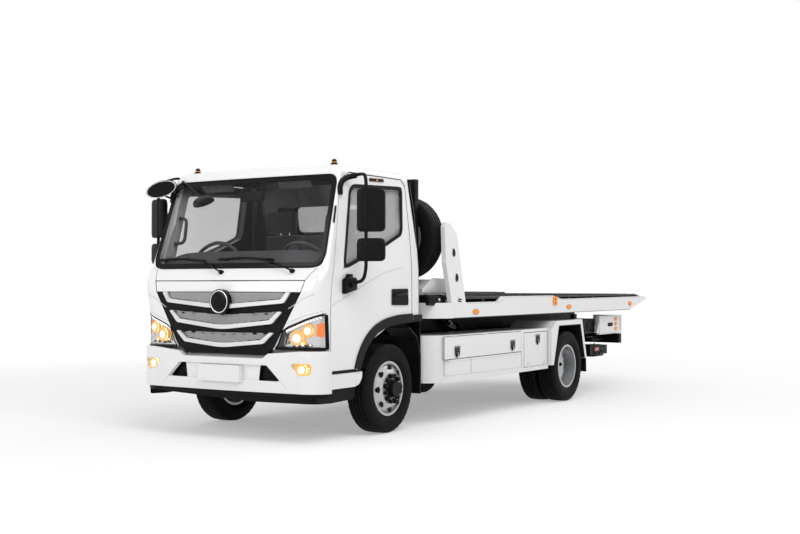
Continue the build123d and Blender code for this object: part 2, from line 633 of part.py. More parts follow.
# Windshield outline in its own plane: distance up from its foot, half width there.
WINDSHIELD_CORNERS = ((14, 915), (800, 866))
WINDSHIELD_CORNER_R = 60
WINDSHIELD = along((966, 1415), (705, 2205))
REAR_WINDOW = along((-400, 2205), (-495, 1570))
LID_OUTLINE = FRONT_LID + tuple((-y, z) for y, z in FRONT_LID[::-1])
foot, head = Vector(ax(966), 0, 1415), Vector(ax(705), 0, 2205)
windshield_plane = Plane(origin=foot, x_dir=(0, 1, 0), z_dir=(head - foot).cross(Vector(0, -1, 0)))


def windshield_prism(grow, depth, mode=Mode.ADD):
    """Windshield outline with rounded corners, carried through the cab's front."""
    (low, low_half), (high, high_half) = WINDSHIELD_CORNERS
    with BuildSketch(windshield_plane.offset(depth[0])) as pane:
        with BuildLine():
            Polyline((-low_half, low), (low_half, low), (high_half, high), (-high_half, high), close=True)
        make_face()
        fillet(pane.vertices(), WINDSHIELD_CORNER_R)
        if grow:
            offset(amount=grow, mode=Mode.REPLACE)
    extrude(pane.sketch, amount=depth[1] - depth[0], mode=mode)


with BuildPart() as cab_walls:
    add(cab_envelope(0))
    add(cab_envelope(CAB_WALL), mode=Mode.SUBTRACT)

with BuildPart() as door_openings:
    for _, side in SIDES:
        door_cut(PANEL_GAP, sorted((side * DOOR_INNER_Y, side * 1000)))

with BuildPart() as cab_shell:
    add(cab_walls.part)
    slab((-300, 1000), (-470, 470), (640, 990))
    slab((-600, 940), (-410, 410), (500, 930), Mode.SUBTRACT)
    add(door_openings.part, mode=Mode.SUBTRACT)
    windshield_prism(0, (-110, 30), Mode.SUBTRACT)
    strip(REAR_WINDOW, (190, 600), (20, -110), (-560, 560), Mode.SUBTRACT)
    front_cut(LID_OUTLINE, (985, 1150), Mode.SUBTRACT, PANEL_GAP)
    for _, side in SIDES:
        front_cut([(side * y, z) for y, z in HEADLAMP], (930, 1150), Mode.SUBTRACT, PANEL_GAP)
        slab((905, 955), sorted((side * 415, side * 455)), (CAB_PIVOT[1] - 40, 800))
        side_prism(ARCH_TRIM_REAR, sorted((side * (CAB_HALF_WIDTH - 20), side * (CAB_HALF_WIDTH + TRIM_PROUD))))
        rod_along_y(CAB_PIVOT[0], CAB_PIVOT[1], HINGE_EYE_R + RUNNING_GAP, sorted((side * 300, side * 500)),
                    Mode.SUBTRACT)
save(cab_shell, "cab_shell")

LID_SPLIT = 1218
# The lid's edge is thin, so that it swings out past the cowl.
LID_HEM, LID_HEM_WIDTH = 4, 30
with BuildPart() as lid_relief:
    front_cut(LID_OUTLINE, (900, 1150), gap=1)
    front_cut(LID_OUTLINE, (899, 1151), Mode.SUBTRACT, -LID_HEM_WIDTH)
    add(cab_envelope(LID_HEM), mode=Mode.INTERSECT)

with BuildPart() as front_lid:
    front_cut(LID_OUTLINE, (985, 1150))
    add(cab_walls.part, mode=Mode.INTERSECT)
    slab((900, 1200), (-900, 900), (600, LID_SPLIT), Mode.SUBTRACT)
    add(lid_relief.part, mode=Mode.SUBTRACT)
save(front_lid, "front_lid")

SURROUND_FOOT = ((-485, 758), (485, 758), (438, 704), (-438, 704))
with BuildPart() as grille_surround:
    front_cut(LID_OUTLINE, (985, 1150))
    add(cab_walls.part, mode=Mode.INTERSECT)
    slab((900, 1200), (-900, 900), (LID_SPLIT, 1400), Mode.SUBTRACT)
    front_cut(SURROUND_FOOT, (1002, 1040))
save(grille_surround, "grille_surround")


def bar_outline(tip, centre_top, corner, low, inset=0):
    """Front view of one grille bar: pointed ends, top edge and V-shaped lower edge."""
    right = ((0, low + inset), (corner[0] - inset, corner[1] + inset), (tip[0] - inset * 1.3, tip[1] + inset),
             (0, centre_top + inset))
    return right + tuple((-y, z) for y, z in right[2:0:-1])


def bar_solid(apex, outline, rear=1020):
    """Grille bar from the cab's face out to a bowed front."""
    with BuildPart() as bar:
        front_cut(outline, (rear, 1200))
        with BuildSketch(Plane.XY.offset(500)) as ahead:
            with BuildLine():
                ThreePointArc((ax(apex - BAR_FALL), -700), (ax(apex), 0), (ax(apex - BAR_FALL), 700))
                Polyline((ax(apex - BAR_FALL), 700), (ax(1300), 700), (ax(1300), -700),
                         (ax(apex - BAR_FALL), -700))
            make_face()
        extrude(ahead.sketch, amount=900, mode=Mode.SUBTRACT)
        add(cab_body, mode=Mode.SUBTRACT)
    return bar.part


def bar_pocket(apex, outline):
    """Recess inside a bar's frame, its floor bowed like the front."""
    with BuildPart() as pocket:
        front_cut(outline, (1000, 1200))
        add(bar_solid(apex - BAR_POCKET, outline, 990), mode=Mode.SUBTRACT)
        add(cab_body, mode=Mode.SUBTRACT)
    return pocket.part


cab_body = cab_envelope(0)
BAR_FALL, BAR_POCKET = 42, 26
with BuildPart() as grille_bars:
    for apex, *bar in GRILLE_BARS:
        add(bar_solid(apex, bar_outline(*bar)))
    for apex, *bar in GRILLE_BARS:
        add(bar_pocket(apex, bar_outline(*bar, BAR_FRAME)), mode=Mode.SUBTRACT)
    with BuildSketch(Plane.YZ.offset(ax(1066))) as disc:
        with Locations((0, EMBLEM[0])):
            Circle(EMBLEM[1])
    extrude(disc.sketch, amount=EMBLEM[2] - 1066)
save(grille_bars, "grille_bars")

with BuildPart() as cab_glass:
    windshield_prism(-3, (-110, 30))
    add(cab_envelope(2), mode=Mode.INTERSECT)
    add(cab_envelope(10), mode=Mode.SUBTRACT)
    strip(REAR_WINDOW, (193, 597), (-20, -28), (-557, 557))
save(cab_glass, "cab_glass")

for hand, side in SIDES:
    with BuildPart() as cab_door:
        door_cut(0, sorted((side * DOOR_INNER_Y, side * 1000)))
        add(cab_walls.part, mode=Mode.INTERSECT)
        side_prism(WINDOW, sorted((side * 700, side * 1000)), Mode.SUBTRACT)
        side_prism(ARCH_TRIM, sorted((side * (CAB_HALF_WIDTH - 20), side * (CAB_HALF_WIDTH + TRIM_PROUD))))
        slab(HANDLE_X, sorted((side * (CAB_HALF_WIDTH - 20), side * (CAB_HALF_WIDTH + 6))), HANDLE_Z)
    save(cab_door, f"cab_door_{hand}")

SIDE_LEAN = atan((CAB_HALF_WIDTH - 905) / (2150 - 1420))
glass_plane = Plane(origin=(0, CAB_HALF_WIDTH - 30, 1420), x_dir=(1, 0, 0),
                    z_dir=(0, cos(SIDE_LEAN), sin(SIDE_LEAN)))
for hand, side in SIDES:
    with BuildPart() as door_glass:
        with BuildSketch(glass_plane):
            with BuildLine():
                Polyline(*[(ax(x), (1420 - z) / cos(SIDE_LEAN)) for x, z in WINDOW], close=True)
            make_face()
            offset(amount=-3, kind=Kind.INTERSECTION, mode=Mode.REPLACE)
        extrude(amount=6)
        if side < 0:
            mirror(about=Plane.XZ, mode=Mode.REPLACE)
    save(door_glass, f"door_glass_{hand}")

# ---- bumper, steps and cab fittings -------------------------------------
# Bumper in plan, left half: station and width from the centre to its end, outer face then inner face.
BUMPER_NOSE, BUMPER_SHOULDER, BUMPER_END = (1098, 0), (1066, 760), (940, 975)
BUMPER_REAR, BUMPER_WALL = 890, 45


def bumper_prism(inset, z, mode=Mode.ADD, rear=BUMPER_REAR):
    """Bumper outline in plan, drawn in by inset, between two heights."""
    nose, shoulder, end = [(x - inset, max(y - inset, 0)) for x, y in (BUMPER_NOSE, BUMPER_SHOULDER, BUMPER_END)]
    turn = (shoulder[0] - 30, (shoulder[1] + end[1]) / 2 + 25)
    with BuildSketch(Plane.XY.offset(z[0])) as plan:
        with BuildLine():
            ThreePointArc((ax(shoulder[0]), -shoulder[1]), (ax(nose[0]), 0), (ax(shoulder[0]), shoulder[1]))
            for side in (1, -1):
                ThreePointArc((ax(shoulder[0]), side * shoulder[1]), (ax(turn[0]), side * turn[1]),
                              (ax(end[0]), side * end[1]))
                Line((ax(end[0]), side * end[1]), (ax(rear), side * end[1]))
            Line((ax(rear), end[1]), (ax(rear), -end[1]))
        make_face()
    extrude(plan.sketch, amount=z[1] - z[0], mode=mode)


with BuildPart() as bumper:
    bumper_prism(0, (410, 748))
    front_cut(((-466, 503), (-600, 503), (-470, 628), (470, 628), (600, 503)), (900, 1200), Mode.SUBTRACT)
    bumper_prism(14, (411, 747))
    bumper_prism(BUMPER_WALL, (409, 749), Mode.SUBTRACT, BUMPER_REAR - 1)
    front_cut(((-425, 682), (425, 682), (480, 722), (930, 760), (-930, 760), (-480, 722)), (860, 1200),
              Mode.SUBTRACT)
    slab((1070, 1132), (-220, 220), (483, 620))
    for _, side in SIDES:
        front_cut([(side * y, z) for y, z in VENT], (900, 1200), Mode.SUBTRACT)
        front_cut([(side * y, z) for y, z in FOG_LAMP], (900, 1200), Mode.SUBTRACT)
save(bumper, "bumper")

with BuildPart() as fog_lamps:
    for _, side in SIDES:
        front_cut([(side * y, z) for y, z in FOG_LAMP], (901, 1200))
    bumper_prism(24, (400, 700), Mode.INTERSECT)
    bumper_prism(BUMPER_WALL - 1, (399, 701), Mode.SUBTRACT, BUMPER_REAR - 1)

with BuildPart() as headlamps:
    for _, side in SIDES:
        front_cut([(side * y, z) for y, z in HEADLAMP], (938, 1150))
    add(cab_walls.part, mode=Mode.INTERSECT)
    add(fog_lamps.part)
save(headlamps, "headlamps")

with BuildPart() as bumper_lip:
    bumper_prism(22, (378, 409.9))
    bumper_prism(BUMPER_WALL, (377, 410), Mode.SUBTRACT, BUMPER_REAR - 1)
save(bumper_lip, "bumper_lip")

with BuildPart() as step_panels:
    for _, side in SIDES:
        slab((535, 890), sorted((side * 905, side * CAB_HALF_WIDTH)), (440, 560))
save(step_panels, "step_panels")

MIRROR_ARM = (648, 1150)
MIRROR_HEADS = ((1715, 2050), (1470, 1645))
for hand, side in SIDES:
    with BuildPart() as mirror_set:
        rod_along_y(MIRROR_ARM[0], 1290, 15, (990, MIRROR_ARM[1]))
        rod_along_y(560, 2130, 15, (905, MIRROR_ARM[1]))
        rod_along_x((552, MIRROR_ARM[0]), MIRROR_ARM[1], 2130, 14.5)
        with Locations((ax(MIRROR_ARM[0]), MIRROR_ARM[1], (1272 + 2140) / 2)):
            Cylinder(16, 2140 - 1272)
        for low, high in MIRROR_HEADS:
            with BuildSketch(Plane.XY.offset(low)) as head:
                with Locations((ax(MIRROR_ARM[0] - 3), 1187)):
                    RectangleRounded(84, 210, 30)
            extrude(head.sketch, amount=high - low)
        side_prism(((535, 1195), (762, 1245), (762, 1330), (700, 1360), (535, 1330)), (CAB_HALF_WIDTH, 1000))
        if side < 0:
            mirror(about=Plane.XZ, mode=Mode.REPLACE)
    save(mirror_set, f"mirror_{hand}")

with BuildPart() as roof_lamps:
    for _, side in SIDES:
        with Locations((ax(547), side * 752, 2305)):
            Cylinder(34, 44)
save(roof_lamps, "roof_lamps")

with BuildPart() as air_intake:
    slab((-576, -512), (800, 890), (900, 2230))
save(air_intake, "air_intake")

with BuildPart() as front_mudguards:
    for _, side in SIDES:
        side_prism(((-500, 300), (-520, 300), (-520, 640), (-455, 820), (-320, 905), (-310, 893), (-440, 808),
                    (-500, 640)), sorted((side * 690, side * 950)))
        slab((-520, -500), sorted((side * RAIL_Y[1], side * 692)), (610, 650))
save(front_mudguards, "front_mudguards")

# ---- cab interior -------------------------------------------------------
with BuildPart() as seats:
    for width in (430, -430):
        slab((-330, 180), (width - 240, width + 240), (1024, 1230))
        slab((-370, -270), (width - 230, width + 230), (1232, 1760))
save(seats, "seats")

with BuildPart() as dashboard:
    side_prism(((862, 1050), (864, 1360), (700, 1400), (600, 1340), (600, 1200), (680, 1050)), (-880, 880))
    wheel_tilt = Plane(origin=(ax(500), 430, 1420), x_dir=(0, 1, 0), z_dir=(-0.5, 0, 0.866))
    with BuildSketch(wheel_tilt.offset(-15)):
        Circle(215)
        Circle(185, mode=Mode.SUBTRACT)
        Circle(60)
        with PolarLocations(120, 3, start_angle=-90):
            Rectangle(140, 40)
    extrude(amount=30)
    with BuildSketch(wheel_tilt.offset(-235)):
        Circle(30)
    extrude(amount=225)
save(dashboard, "dashboard")
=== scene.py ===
"""Slide-bed tow truck: materials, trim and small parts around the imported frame.

+X forward, +Y left, +Z up. Forms are drawn in millimetres from the front axle; done() puts them in the
row frame in metres. Materials, camera and lights are in the row frame.
"""

import math

import bmesh
import bpy
from mathutils import Matrix, Vector
from mathutils.geometry import delaunay_2d_cdt


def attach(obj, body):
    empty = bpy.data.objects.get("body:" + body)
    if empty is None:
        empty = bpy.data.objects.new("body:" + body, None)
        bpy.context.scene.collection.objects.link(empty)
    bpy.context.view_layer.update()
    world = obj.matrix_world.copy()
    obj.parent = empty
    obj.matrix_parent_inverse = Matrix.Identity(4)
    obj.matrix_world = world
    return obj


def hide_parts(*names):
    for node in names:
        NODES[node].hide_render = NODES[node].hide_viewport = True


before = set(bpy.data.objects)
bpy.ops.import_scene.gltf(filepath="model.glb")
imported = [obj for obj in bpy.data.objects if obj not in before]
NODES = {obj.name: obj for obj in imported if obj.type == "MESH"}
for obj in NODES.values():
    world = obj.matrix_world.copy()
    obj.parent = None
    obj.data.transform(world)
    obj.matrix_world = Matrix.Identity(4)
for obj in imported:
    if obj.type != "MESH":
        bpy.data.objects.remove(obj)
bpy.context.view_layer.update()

FRONT_AXLE_X = 2383.5
WHEELBASE = 3360
TYRE_R = 383.5
BODY_HALF = 1100
RIM_SEAT, NUT_CIRCLE, HOLE_CIRCLE = 222.5, 111, 178
REAR_TYRES = (796.5, 1026.5)
TO_ROW = Matrix.Scale(0.001, 4) @ Matrix.Translation((FRONT_AXLE_X, 0, 0))
SIDES = (("left", 1), ("right", -1))


def P(x, y, z):
    """A point in millimetres from the ground below the front axle, or an offset or direction."""
    return Vector((x, y, z))


# ---- materials ----------------------------------------------------------
class Nodes:
    """The node tree of a material or world, with short ways to add nodes to it."""

    def __init__(self, owner):
        self.mat = owner
        owner.use_nodes = True
        self.tree = owner.node_tree
        self.shader = self.tree.nodes.get("Principled BSDF")
        self.coords = self.tree.nodes.new("ShaderNodeTexCoord").outputs["Object"]

    def add(self, kind, **values):
        node = self.tree.nodes.new("ShaderNode" + kind)
        for key, value in values.items():
            if key in node.bl_rna.properties:
                setattr(node, key, value)
            else:
                node.inputs[key.replace("_", " ")].default_value = value
        return node

    def link(self, source, target):
        self.tree.links.new(source, target)

    def noise(self, scale, detail, stretch=None):
        node = self.add("TexNoise", Scale=scale, Detail=detail)
        source = self.coords
        if stretch:
            mapping = self.add("Mapping", Scale=stretch)
            self.link(source, mapping.inputs["Vector"])
            source = mapping.outputs["Vector"]
        self.link(source, node.inputs["Vector"])
        return node.outputs["Fac"]

    def remap(self, source, low, high, start=0.3, end=0.7):
        node = self.add("MapRange")
        for key, value in (("From Min", start), ("From Max", end), ("To Min", low), ("To Max", high)):
            node.inputs[key].default_value = value
        self.link(source, node.inputs["Value"])
        return node.outputs["Result"]

    def mix(self, factor, a, b):
        node = self.add("Mix", data_type="RGBA")
        self.link(factor, node.inputs[0])
        for socket, value in ((node.inputs[6], a), (node.inputs[7], b)):
            if isinstance(value, (tuple, list)):
                socket.default_value = (*value, 1.0)
            else:
                self.link(value, socket)
        return node.outputs[2]

    def math(self, operation, *sources):
        node = self.add("Math", operation=operation)
        for socket, source in zip(node.inputs, sources):
            if isinstance(source, float):
                socket.default_value = source
            else:
                self.link(source, socket)
        return node.outputs[0]

    def bump(self, height, strength, distance, before):
        node = self.add("Bump", Strength=strength, Distance=distance)
        self.link(height, node.inputs["Height"])
        if before:
            self.link(before, node.inputs["Normal"])
        return node.outputs["Normal"]


def finish_nodes(name, colour, rough, *, vary, scale, metal=0.0, rough_vary=0.08, bumps=(),
                 bevel=0.0, **sockets):
    """Finish with varied colour and roughness; a bump is (scale, strength, distance[, stretch])."""
    n = Nodes(bpy.data.materials.new(name))
    patch = n.noise(scale, 4.0)
    dark = tuple(c * (1 - vary) for c in colour)
    n.link(n.mix(n.remap(patch, 0, 1), dark, colour), n.shader.inputs["Base Color"])
    n.link(n.remap(n.noise(scale * 3.7, 3.0), max(rough - rough_vary, 0.02), rough + rough_vary),
           n.shader.inputs["Roughness"])
    n.shader.inputs["Metallic"].default_value = metal
    normal = None
    if bevel:
        round_edge = n.add("Bevel", samples=4, Radius=bevel)
        normal = round_edge.outputs["Normal"]
    for bump_scale, strength, distance, *stretch in bumps:
        normal = n.bump(n.noise(bump_scale, 3.0, *stretch), strength, distance, normal)
    if normal:
        n.link(normal, n.shader.inputs["Normal"])
    for key, value in sockets.items():
        n.shader.inputs[key.replace("_", " ")].default_value = value
    return n


def material(*values, **sockets):
    return finish_nodes(*values, **sockets).mat


def glow(name, colour, strength, base):
    n = finish_nodes(name, base, 0.3, vary=0.05, scale=40)
    n.shader.inputs["Emission Color"].default_value = (*colour, 1.0)
    n.shader.inputs["Emission Strength"].default_value = strength
    return n.mat


PAINT = (0.735, 0.735, 0.74)
# painted light and shade inside the cab: the near-black colour of the inside faces is painted shade, the
# lighter grey of the front pillars is painted light
SHADED_LINING, LIT_PILLAR_LINING = (0.026, 0.028, 0.030), (0.52, 0.53, 0.54)
paint_sockets = dict(Coat_Weight=0.6, Coat_Roughness=0.06, Specular_IOR_Level=0.5)


def white_paint(name, shaded_room_centre=None):
    """Glossy white with faint orange peel and painted shade in patches low down; the optional centre marks
    the middle of the cab, whose inside faces get painted shade and whose front pillars get painted light.
    """
    n = finish_nodes(name, PAINT, 0.30, vary=0.012, scale=0.7, rough_vary=0.012, bevel=0.004,
                 bumps=((900.0, 0.04, 0.0004),), **paint_sockets)
    split = n.add("SeparateXYZ")
    n.link(n.coords, split.inputs[0])
    # painted shade low down: the paint darkens in noisy patches towards the bottom; clean is its colour
    # before this shade
    low_shade = n.math("MULTIPLY", n.remap(split.outputs["Z"], 0.75, 0.0, 0.36, 1.0),
                  n.remap(n.noise(0.9, 2.0), 0.45, 0.75, 0.1, 0.9))
    clean = n.shader.inputs["Base Color"].links[0].from_socket
    colour = n.mix(low_shade, clean, (0.64, 0.64, 0.635))
    # inside faces of the cab get painted shade, the front pillars above the dash get painted light
    if shaded_room_centre:
        geometry = n.add("NewGeometry")
        offset = n.add("VectorMath", operation="SUBTRACT")
        n.link(geometry.outputs["Position"], offset.inputs[0])
        offset.inputs[1].default_value = shaded_room_centre
        facing = n.add("VectorMath", operation="DOT_PRODUCT")
        n.link(offset.outputs[0], facing.inputs[0])
        n.link(geometry.outputs["True Normal"], facing.inputs[1])
        inside = n.math("LESS_THAN", facing.outputs["Value"], -0.02)
        outer = n.math("ABSOLUTE", split.outputs["Y"])
        sides = n.math("MULTIPLY", n.remap(split.outputs["X"], 0.0, 1.0, 2.72, 2.96),
                       n.remap(outer, 0.0, 1.0, 0.70, 0.76))
        band = n.math("MULTIPLY", n.remap(split.outputs["Z"], 1.0, 0.0, 2.04, 2.12),
                      n.remap(split.outputs["Z"], 0.0, 1.0, 1.46, 1.54))
        lit_pillars = n.math("MULTIPLY", sides, band)
        colour = n.mix(inside, colour, n.mix(lit_pillars, SHADED_LINING, LIT_PILLAR_LINING))
    n.link(colour, n.shader.inputs["Base Color"])
    return n.mat


DULL = dict(Specular_IOR_Level=0.10)
LIT = (0.8, 0.8, 0.8)
MAT = {
    "white": white_paint("white_gloss"),
    "cab_white": white_paint("white_gloss_shaded_inside", shaded_room_centre=(2.5335, 0, 1.55)),
    "grey": material("cover_grey", (0.66, 0.665, 0.67), 0.38, bevel=0.004, scale=3, vary=0.07,
                     bumps=((600.0, 0.05, 0.0005),), Coat_Weight=0.3),
    "steel": material("chassis_black", (0.0065, 0.0065, 0.007), 0.45, bevel=0.003, scale=5, vary=0.4,
                      bumps=((260.0, 0.12, 0.0008), (30.0, 0.06, 0.002)), **DULL),
    "plastic": material("moulded_black", (0.0055, 0.0055, 0.006), 0.42, bevel=0.002, scale=14, vary=0.25,
                        bumps=((1400.0, 0.18, 0.0004),), **DULL),
    "gloss_black": material("gloss_black", (0.0035, 0.0035, 0.004), 0.12, scale=9, vary=0.2,
                            rough_vary=0.03,
                            bumps=((700.0, 0.02, 0.0003),), Specular_IOR_Level=0.14),
    "trim_grey": material("arch_trim_grey", (0.012, 0.012, 0.013), 0.5, bevel=0.002, scale=12, vary=0.2,
                          bumps=((1100.0, 0.2, 0.0004),), **DULL),
    "rubber": material("tyre_rubber", (0.0045, 0.0045, 0.0047), 0.62, scale=11, vary=0.3, rough_vary=0.1,
                       bumps=((180.0, 0.12, 0.0008), (900.0, 0.1, 0.0003)), **DULL),
    "seal": material("seal_rubber", (0.0045, 0.0045, 0.005), 0.5, scale=25, vary=0.25,
                     bumps=((500.0, 0.1, 0.0004),), **DULL),
    "rim": material("wheel_silver", (0.50, 0.51, 0.52), 0.34, metal=0.75, bevel=0.003, scale=8, vary=0.12,
                    bumps=((420.0, 0.08, 0.0005),)),
    "satin": material("satin_silver", (0.66, 0.66, 0.67), 0.36, metal=0.35, bevel=0.003, scale=7, vary=0.06,
                      bumps=((800.0, 0.05, 0.0003),)),
    "inner_grey": material("cab_moulding_grey", (0.060, 0.062, 0.066), 0.5, scale=12, vary=0.15,
                           bumps=((900.0, 0.15, 0.0004),), Specular_IOR_Level=0.2),
    "dark_chrome": material("latch_chrome", (0.30, 0.28, 0.25), 0.22, metal=0.9, scale=60, vary=0.3,
                            bumps=((260.0, 0.1, 0.0006),)),
    # painted shade: the tilt rods' chrome is darkened to the shadow they lie in
    "ram_steel": material("ram_steel", (0.16, 0.16, 0.165), 0.25, metal=0.8, scale=20, vary=0.15,
                          bumps=((300.0, 0.05, 0.0005),)),
    "chrome": material("bright_chrome", (0.78, 0.78, 0.79), 0.10, metal=1.0, scale=10, vary=0.08,
                       rough_vary=0.04,
                       bumps=((160.0, 0.02, 0.0005),)),
    "hub": material("hub_black", (0.006, 0.006, 0.0065), 0.36, bevel=0.002, scale=18, vary=0.3,
                    bumps=((300.0, 0.1, 0.0006),), **DULL),
    "cloth": material("seat_cloth", (0.055, 0.057, 0.062), 0.85, scale=30, vary=0.25,
                      bumps=((1500.0, 0.35, 0.0006, (1.0, 3.0, 1.0)),
                             (1500.0, 0.35, 0.0006, (3.0, 1.0, 1.0)),
                             (18.0, 0.1, 0.004)), Sheen_Weight=0.4),
    "deck": material("deck_plate", (0.016, 0.0165, 0.0175), 0.55, bevel=0.003, scale=3, vary=0.45,
                     bumps=((55.0, 0.5, 0.0025, (1.0, 2.2, 1.0)), (400.0, 0.2, 0.0006))),
    "orange": material("amber_lens", (1.0, 0.29, 0.005), 0.25, scale=30, vary=0.12, Specular_IOR_Level=0.3,
                       bumps=((260.0, 0.25, 0.0008, (1.0, 1.0, 0.1)),)),
    "red": material("red_lens", (0.62, 0.03, 0.02), 0.2, scale=30, vary=0.12, Coat_Weight=0.5,
                    bumps=((260.0, 0.25, 0.0008, (1.0, 1.0, 0.1)),)),
    "seam": material("panel_seam", (0.10, 0.10, 0.105), 0.6, scale=20, vary=0.2,
                     bumps=((300.0, 0.1, 0.0004),)),
    # grey lines for seams, and painted shade along creases and edges of white panels
    "soft_seam": material("soft_crease", (0.50, 0.50, 0.51), 0.5, scale=20, vary=0.08,
                          bumps=((300.0, 0.05, 0.0004),)),
    "mirror": material("mirror_glass", (0.72, 0.75, 0.76), 0.04, metal=1.0, scale=5, vary=0.04,
                       rough_vary=0.015,
                       bumps=((30.0, 0.01, 0.0004),)),
    "bulb": glow("lamp_bulb", (1.0, 0.90, 0.62), 3.0, LIT),
    "bulb_soft": glow("lamp_halo", (1.0, 0.72, 0.30), 1.6, LIT),
    "led": glow("lamp_strip", (1.0, 0.98, 0.92), 0.9, LIT),
    "indicator": glow("lamp_indicator", (1.0, 0.20, 0.0), 0.90, (0.20, 0.04, 0.0)),
    "fog_glow": glow("fog_glow", (1.0, 0.86, 0.55), 2.6, LIT),
    "fog_amber": glow("fog_amber", (1.0, 0.48, 0.05), 0.85, (0.30, 0.16, 0.03)),
    # painted reflection: the lamps' reflector bowls glow warm instead of reflecting their bulbs
    "reflector_painted_glow": glow("lamp_reflector_painted_glow", (1.0, 0.50, 0.08), 0.60, (0.40, 0.28, 0.12)),
    "mesh_grey": material("mesh_grey", (0.20, 0.20, 0.205), 0.5, scale=60, vary=0.3,
                          bumps=((900.0, 0.3, 0.0006),)),
}


def glass(name, tint, alpha, rough=0.03, shade=0.0):
    """Tinted pane; shade paints a darker shade on it towards the top of a door window."""
    n = finish_nodes(name, tint, rough, vary=0.08, scale=2.5, rough_vary=0.015, Specular_IOR_Level=0.5)
    if shade:
        split = n.add("SeparateXYZ")
        n.link(n.coords, split.inputs[0])
        clean = n.shader.inputs["Base Color"].links[0].from_socket
        top = tuple(c * (1 - shade) for c in tint)
        n.link(n.mix(n.remap(split.outputs["Z"], 0.0, 1.0, 1.45, 2.10), clean, top),
               n.shader.inputs["Base Color"])
    n.shader.inputs["Alpha"].default_value = alpha
    return n.mat


MAT["windshield"] = glass("tinted_windshield", (0.05, 0.053, 0.056), 0.085)
# the side glass gets painted shade towards its top
MAT["side_glass"] = glass("side_glass", (0.96, 0.97, 0.98), 0.27, shade=0.22)
MAT["rear_film"] = glass("rear_window_film", (0.06, 0.062, 0.065), 0.36)
MAT["lens"] = glass("clear_lens", (0.35, 0.35, 0.35), 0.08, 0.02)

CAD_FINISH = {
    "cab_white": ("cab_shell", "cab_door_left", "cab_door_right"),
    "white": ("front_lid", "bumper", "step_panels", "bed_frame", "skirts", "rear_fenders",
              "tail_lamp_boxes",
              "box_door_long_left", "box_door_long_right", "box_door_rear_left", "box_door_rear_right"),
    "grey": ("winch_cover",),
    "steel": ("ladder_frame", "front_axle", "rear_axle", "leaf_springs", "engine_block", "bed_ribs",
              "bed_runners",
              "winch", "tilt_frame", "tilt_barrels", "underlift_boom", "underlift_bar", "knuckle_left",
              "knuckle_right"),
    "plastic": ("grille_surround", "bumper_lip", "front_mudguards", "air_intake", "dashboard"),
    "satin": ("grille_bars",),
    "windshield": ("cab_glass",),
    "side_glass": ("door_glass_left", "door_glass_right"),
    "ram_steel": ("tilt_rods",),
    "deck": ("deck",),
    "rim": ("rim_front_left", "rim_front_right", "rims_rear_left", "rims_rear_right", "spare_rim"),
    "hub": ("hub_front_left", "hub_front_right", "hub_rear_left", "hub_rear_right"),
}
for finish, names in CAD_FINISH.items():
    for node_name in names:
        mesh = NODES[node_name].data
        mesh.materials.clear()
        mesh.materials.append(MAT[finish])


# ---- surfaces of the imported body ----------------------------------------
# Cab, bottom to top: height, front at the centre line, half width, corner size across and along.
CAB_ROWS = ((560, 1060, 960, 200, 165), (1050, 1062, 960, 200, 165),
            (1225, 1064, 960, 120, 110), (1310, 1048, 960, 70, 75),
            (1360, 1014, 960, 50, 55), (1415, 966, 960, 38, 45),
            (1570, 915, 949, 38, 45), (2205, 705, 901, 38, 45),
            (2240, 686, 880, 45, 50), (2266, 652, 845, 60, 60),
            (2292, 520, 740, 80, 80))
BOW = 26000


def rows_at(rows, z):
    """Values of a table at a height, in between its rows."""
    z = min(max(z, rows[0][0]), rows[-1][0])
    for low, high in zip(rows, rows[1:]):
        if z <= high[0]:
            t = (z - low[0]) / (high[0] - low[0])
            return [a + (b - a) * t for a, b in zip(low[1:], high[1:])]


def arc_x(y, a, b, c):
    """X of the circle through three (x, y) points, at a y, on its front side."""
    (ax, ay), (bx, by), (cx, cy) = a, b, c
    d = 2 * (ax * (by - cy) + bx * (cy - ay) + cx * (ay - by))
    sa, sb, sc = ax * ax + ay * ay, bx * bx + by * by, cx * cx + cy * cy
    ox = (sa * (by - cy) + sb * (cy - ay) + sc * (ay - by)) / d
    oy = (sa * (cx - bx) + sb * (ax - cx) + sc * (bx - ax)) / d
    radius = math.hypot(ax - ox, ay - oy)
    return ox + math.sqrt(max(radius ** 2 - (y - oy) ** 2, 0))


def cab_front(y, z):
    """Point of the cab's front face in front view (y, z)."""
    front, half, across, along = rows_at(CAB_ROWS, z)
    corner = half - across
    if abs(y) <= corner:
        return P(front - y * y / BOW, y, z)
    nose = front - corner * corner / BOW
    cheek = nose - along
    x = arc_x(min(abs(y), half - 2), (nose, corner), (cheek + 0.707 * along, corner + 0.707 * across),
              (cheek, half))
    return P(x, y, z)


def bumper_front(y, z, inset):
    """Point of the bumper's front face in front view (y, z), moved back by inset."""
    if abs(y) <= 760:
        return P(arc_x(abs(y), (1066, -760), (1098, 0), (1066, 760)) - inset, y, z)
    return P(arc_x(abs(y), (1066, 760), (1036, 892.5), (940, 975)) - inset, y, z)


def bumper_inset(inset):
    return lambda y, z: bumper_front(y, z, inset)


# These give the surface that a view's outline is laid on.
def cab_side(side):
    return lambda x, z: P(x, side * rows_at(CAB_ROWS, z)[1], z)


def flat_side(y):
    return lambda x, z: P(x, y, z)


def flat_front(x):
    return lambda y, z: P(x, y, z)


def flat_top(z):
    return lambda x, y: P(x, y, z)


# ---- outlines -----------------------------------------------------------
def turns(count):
    """Angles of equal steps once round."""
    return [2 * math.pi * k / count for k in range(count)]


def corner_curve(start, corner, end, steps):
    """Points of a bend from start to end, pulled towards the corner."""
    return [(1 - t) ** 2 * start + 2 * t * (1 - t) * corner + t * t * end
            for t in (k / steps for k in range(steps + 1))]


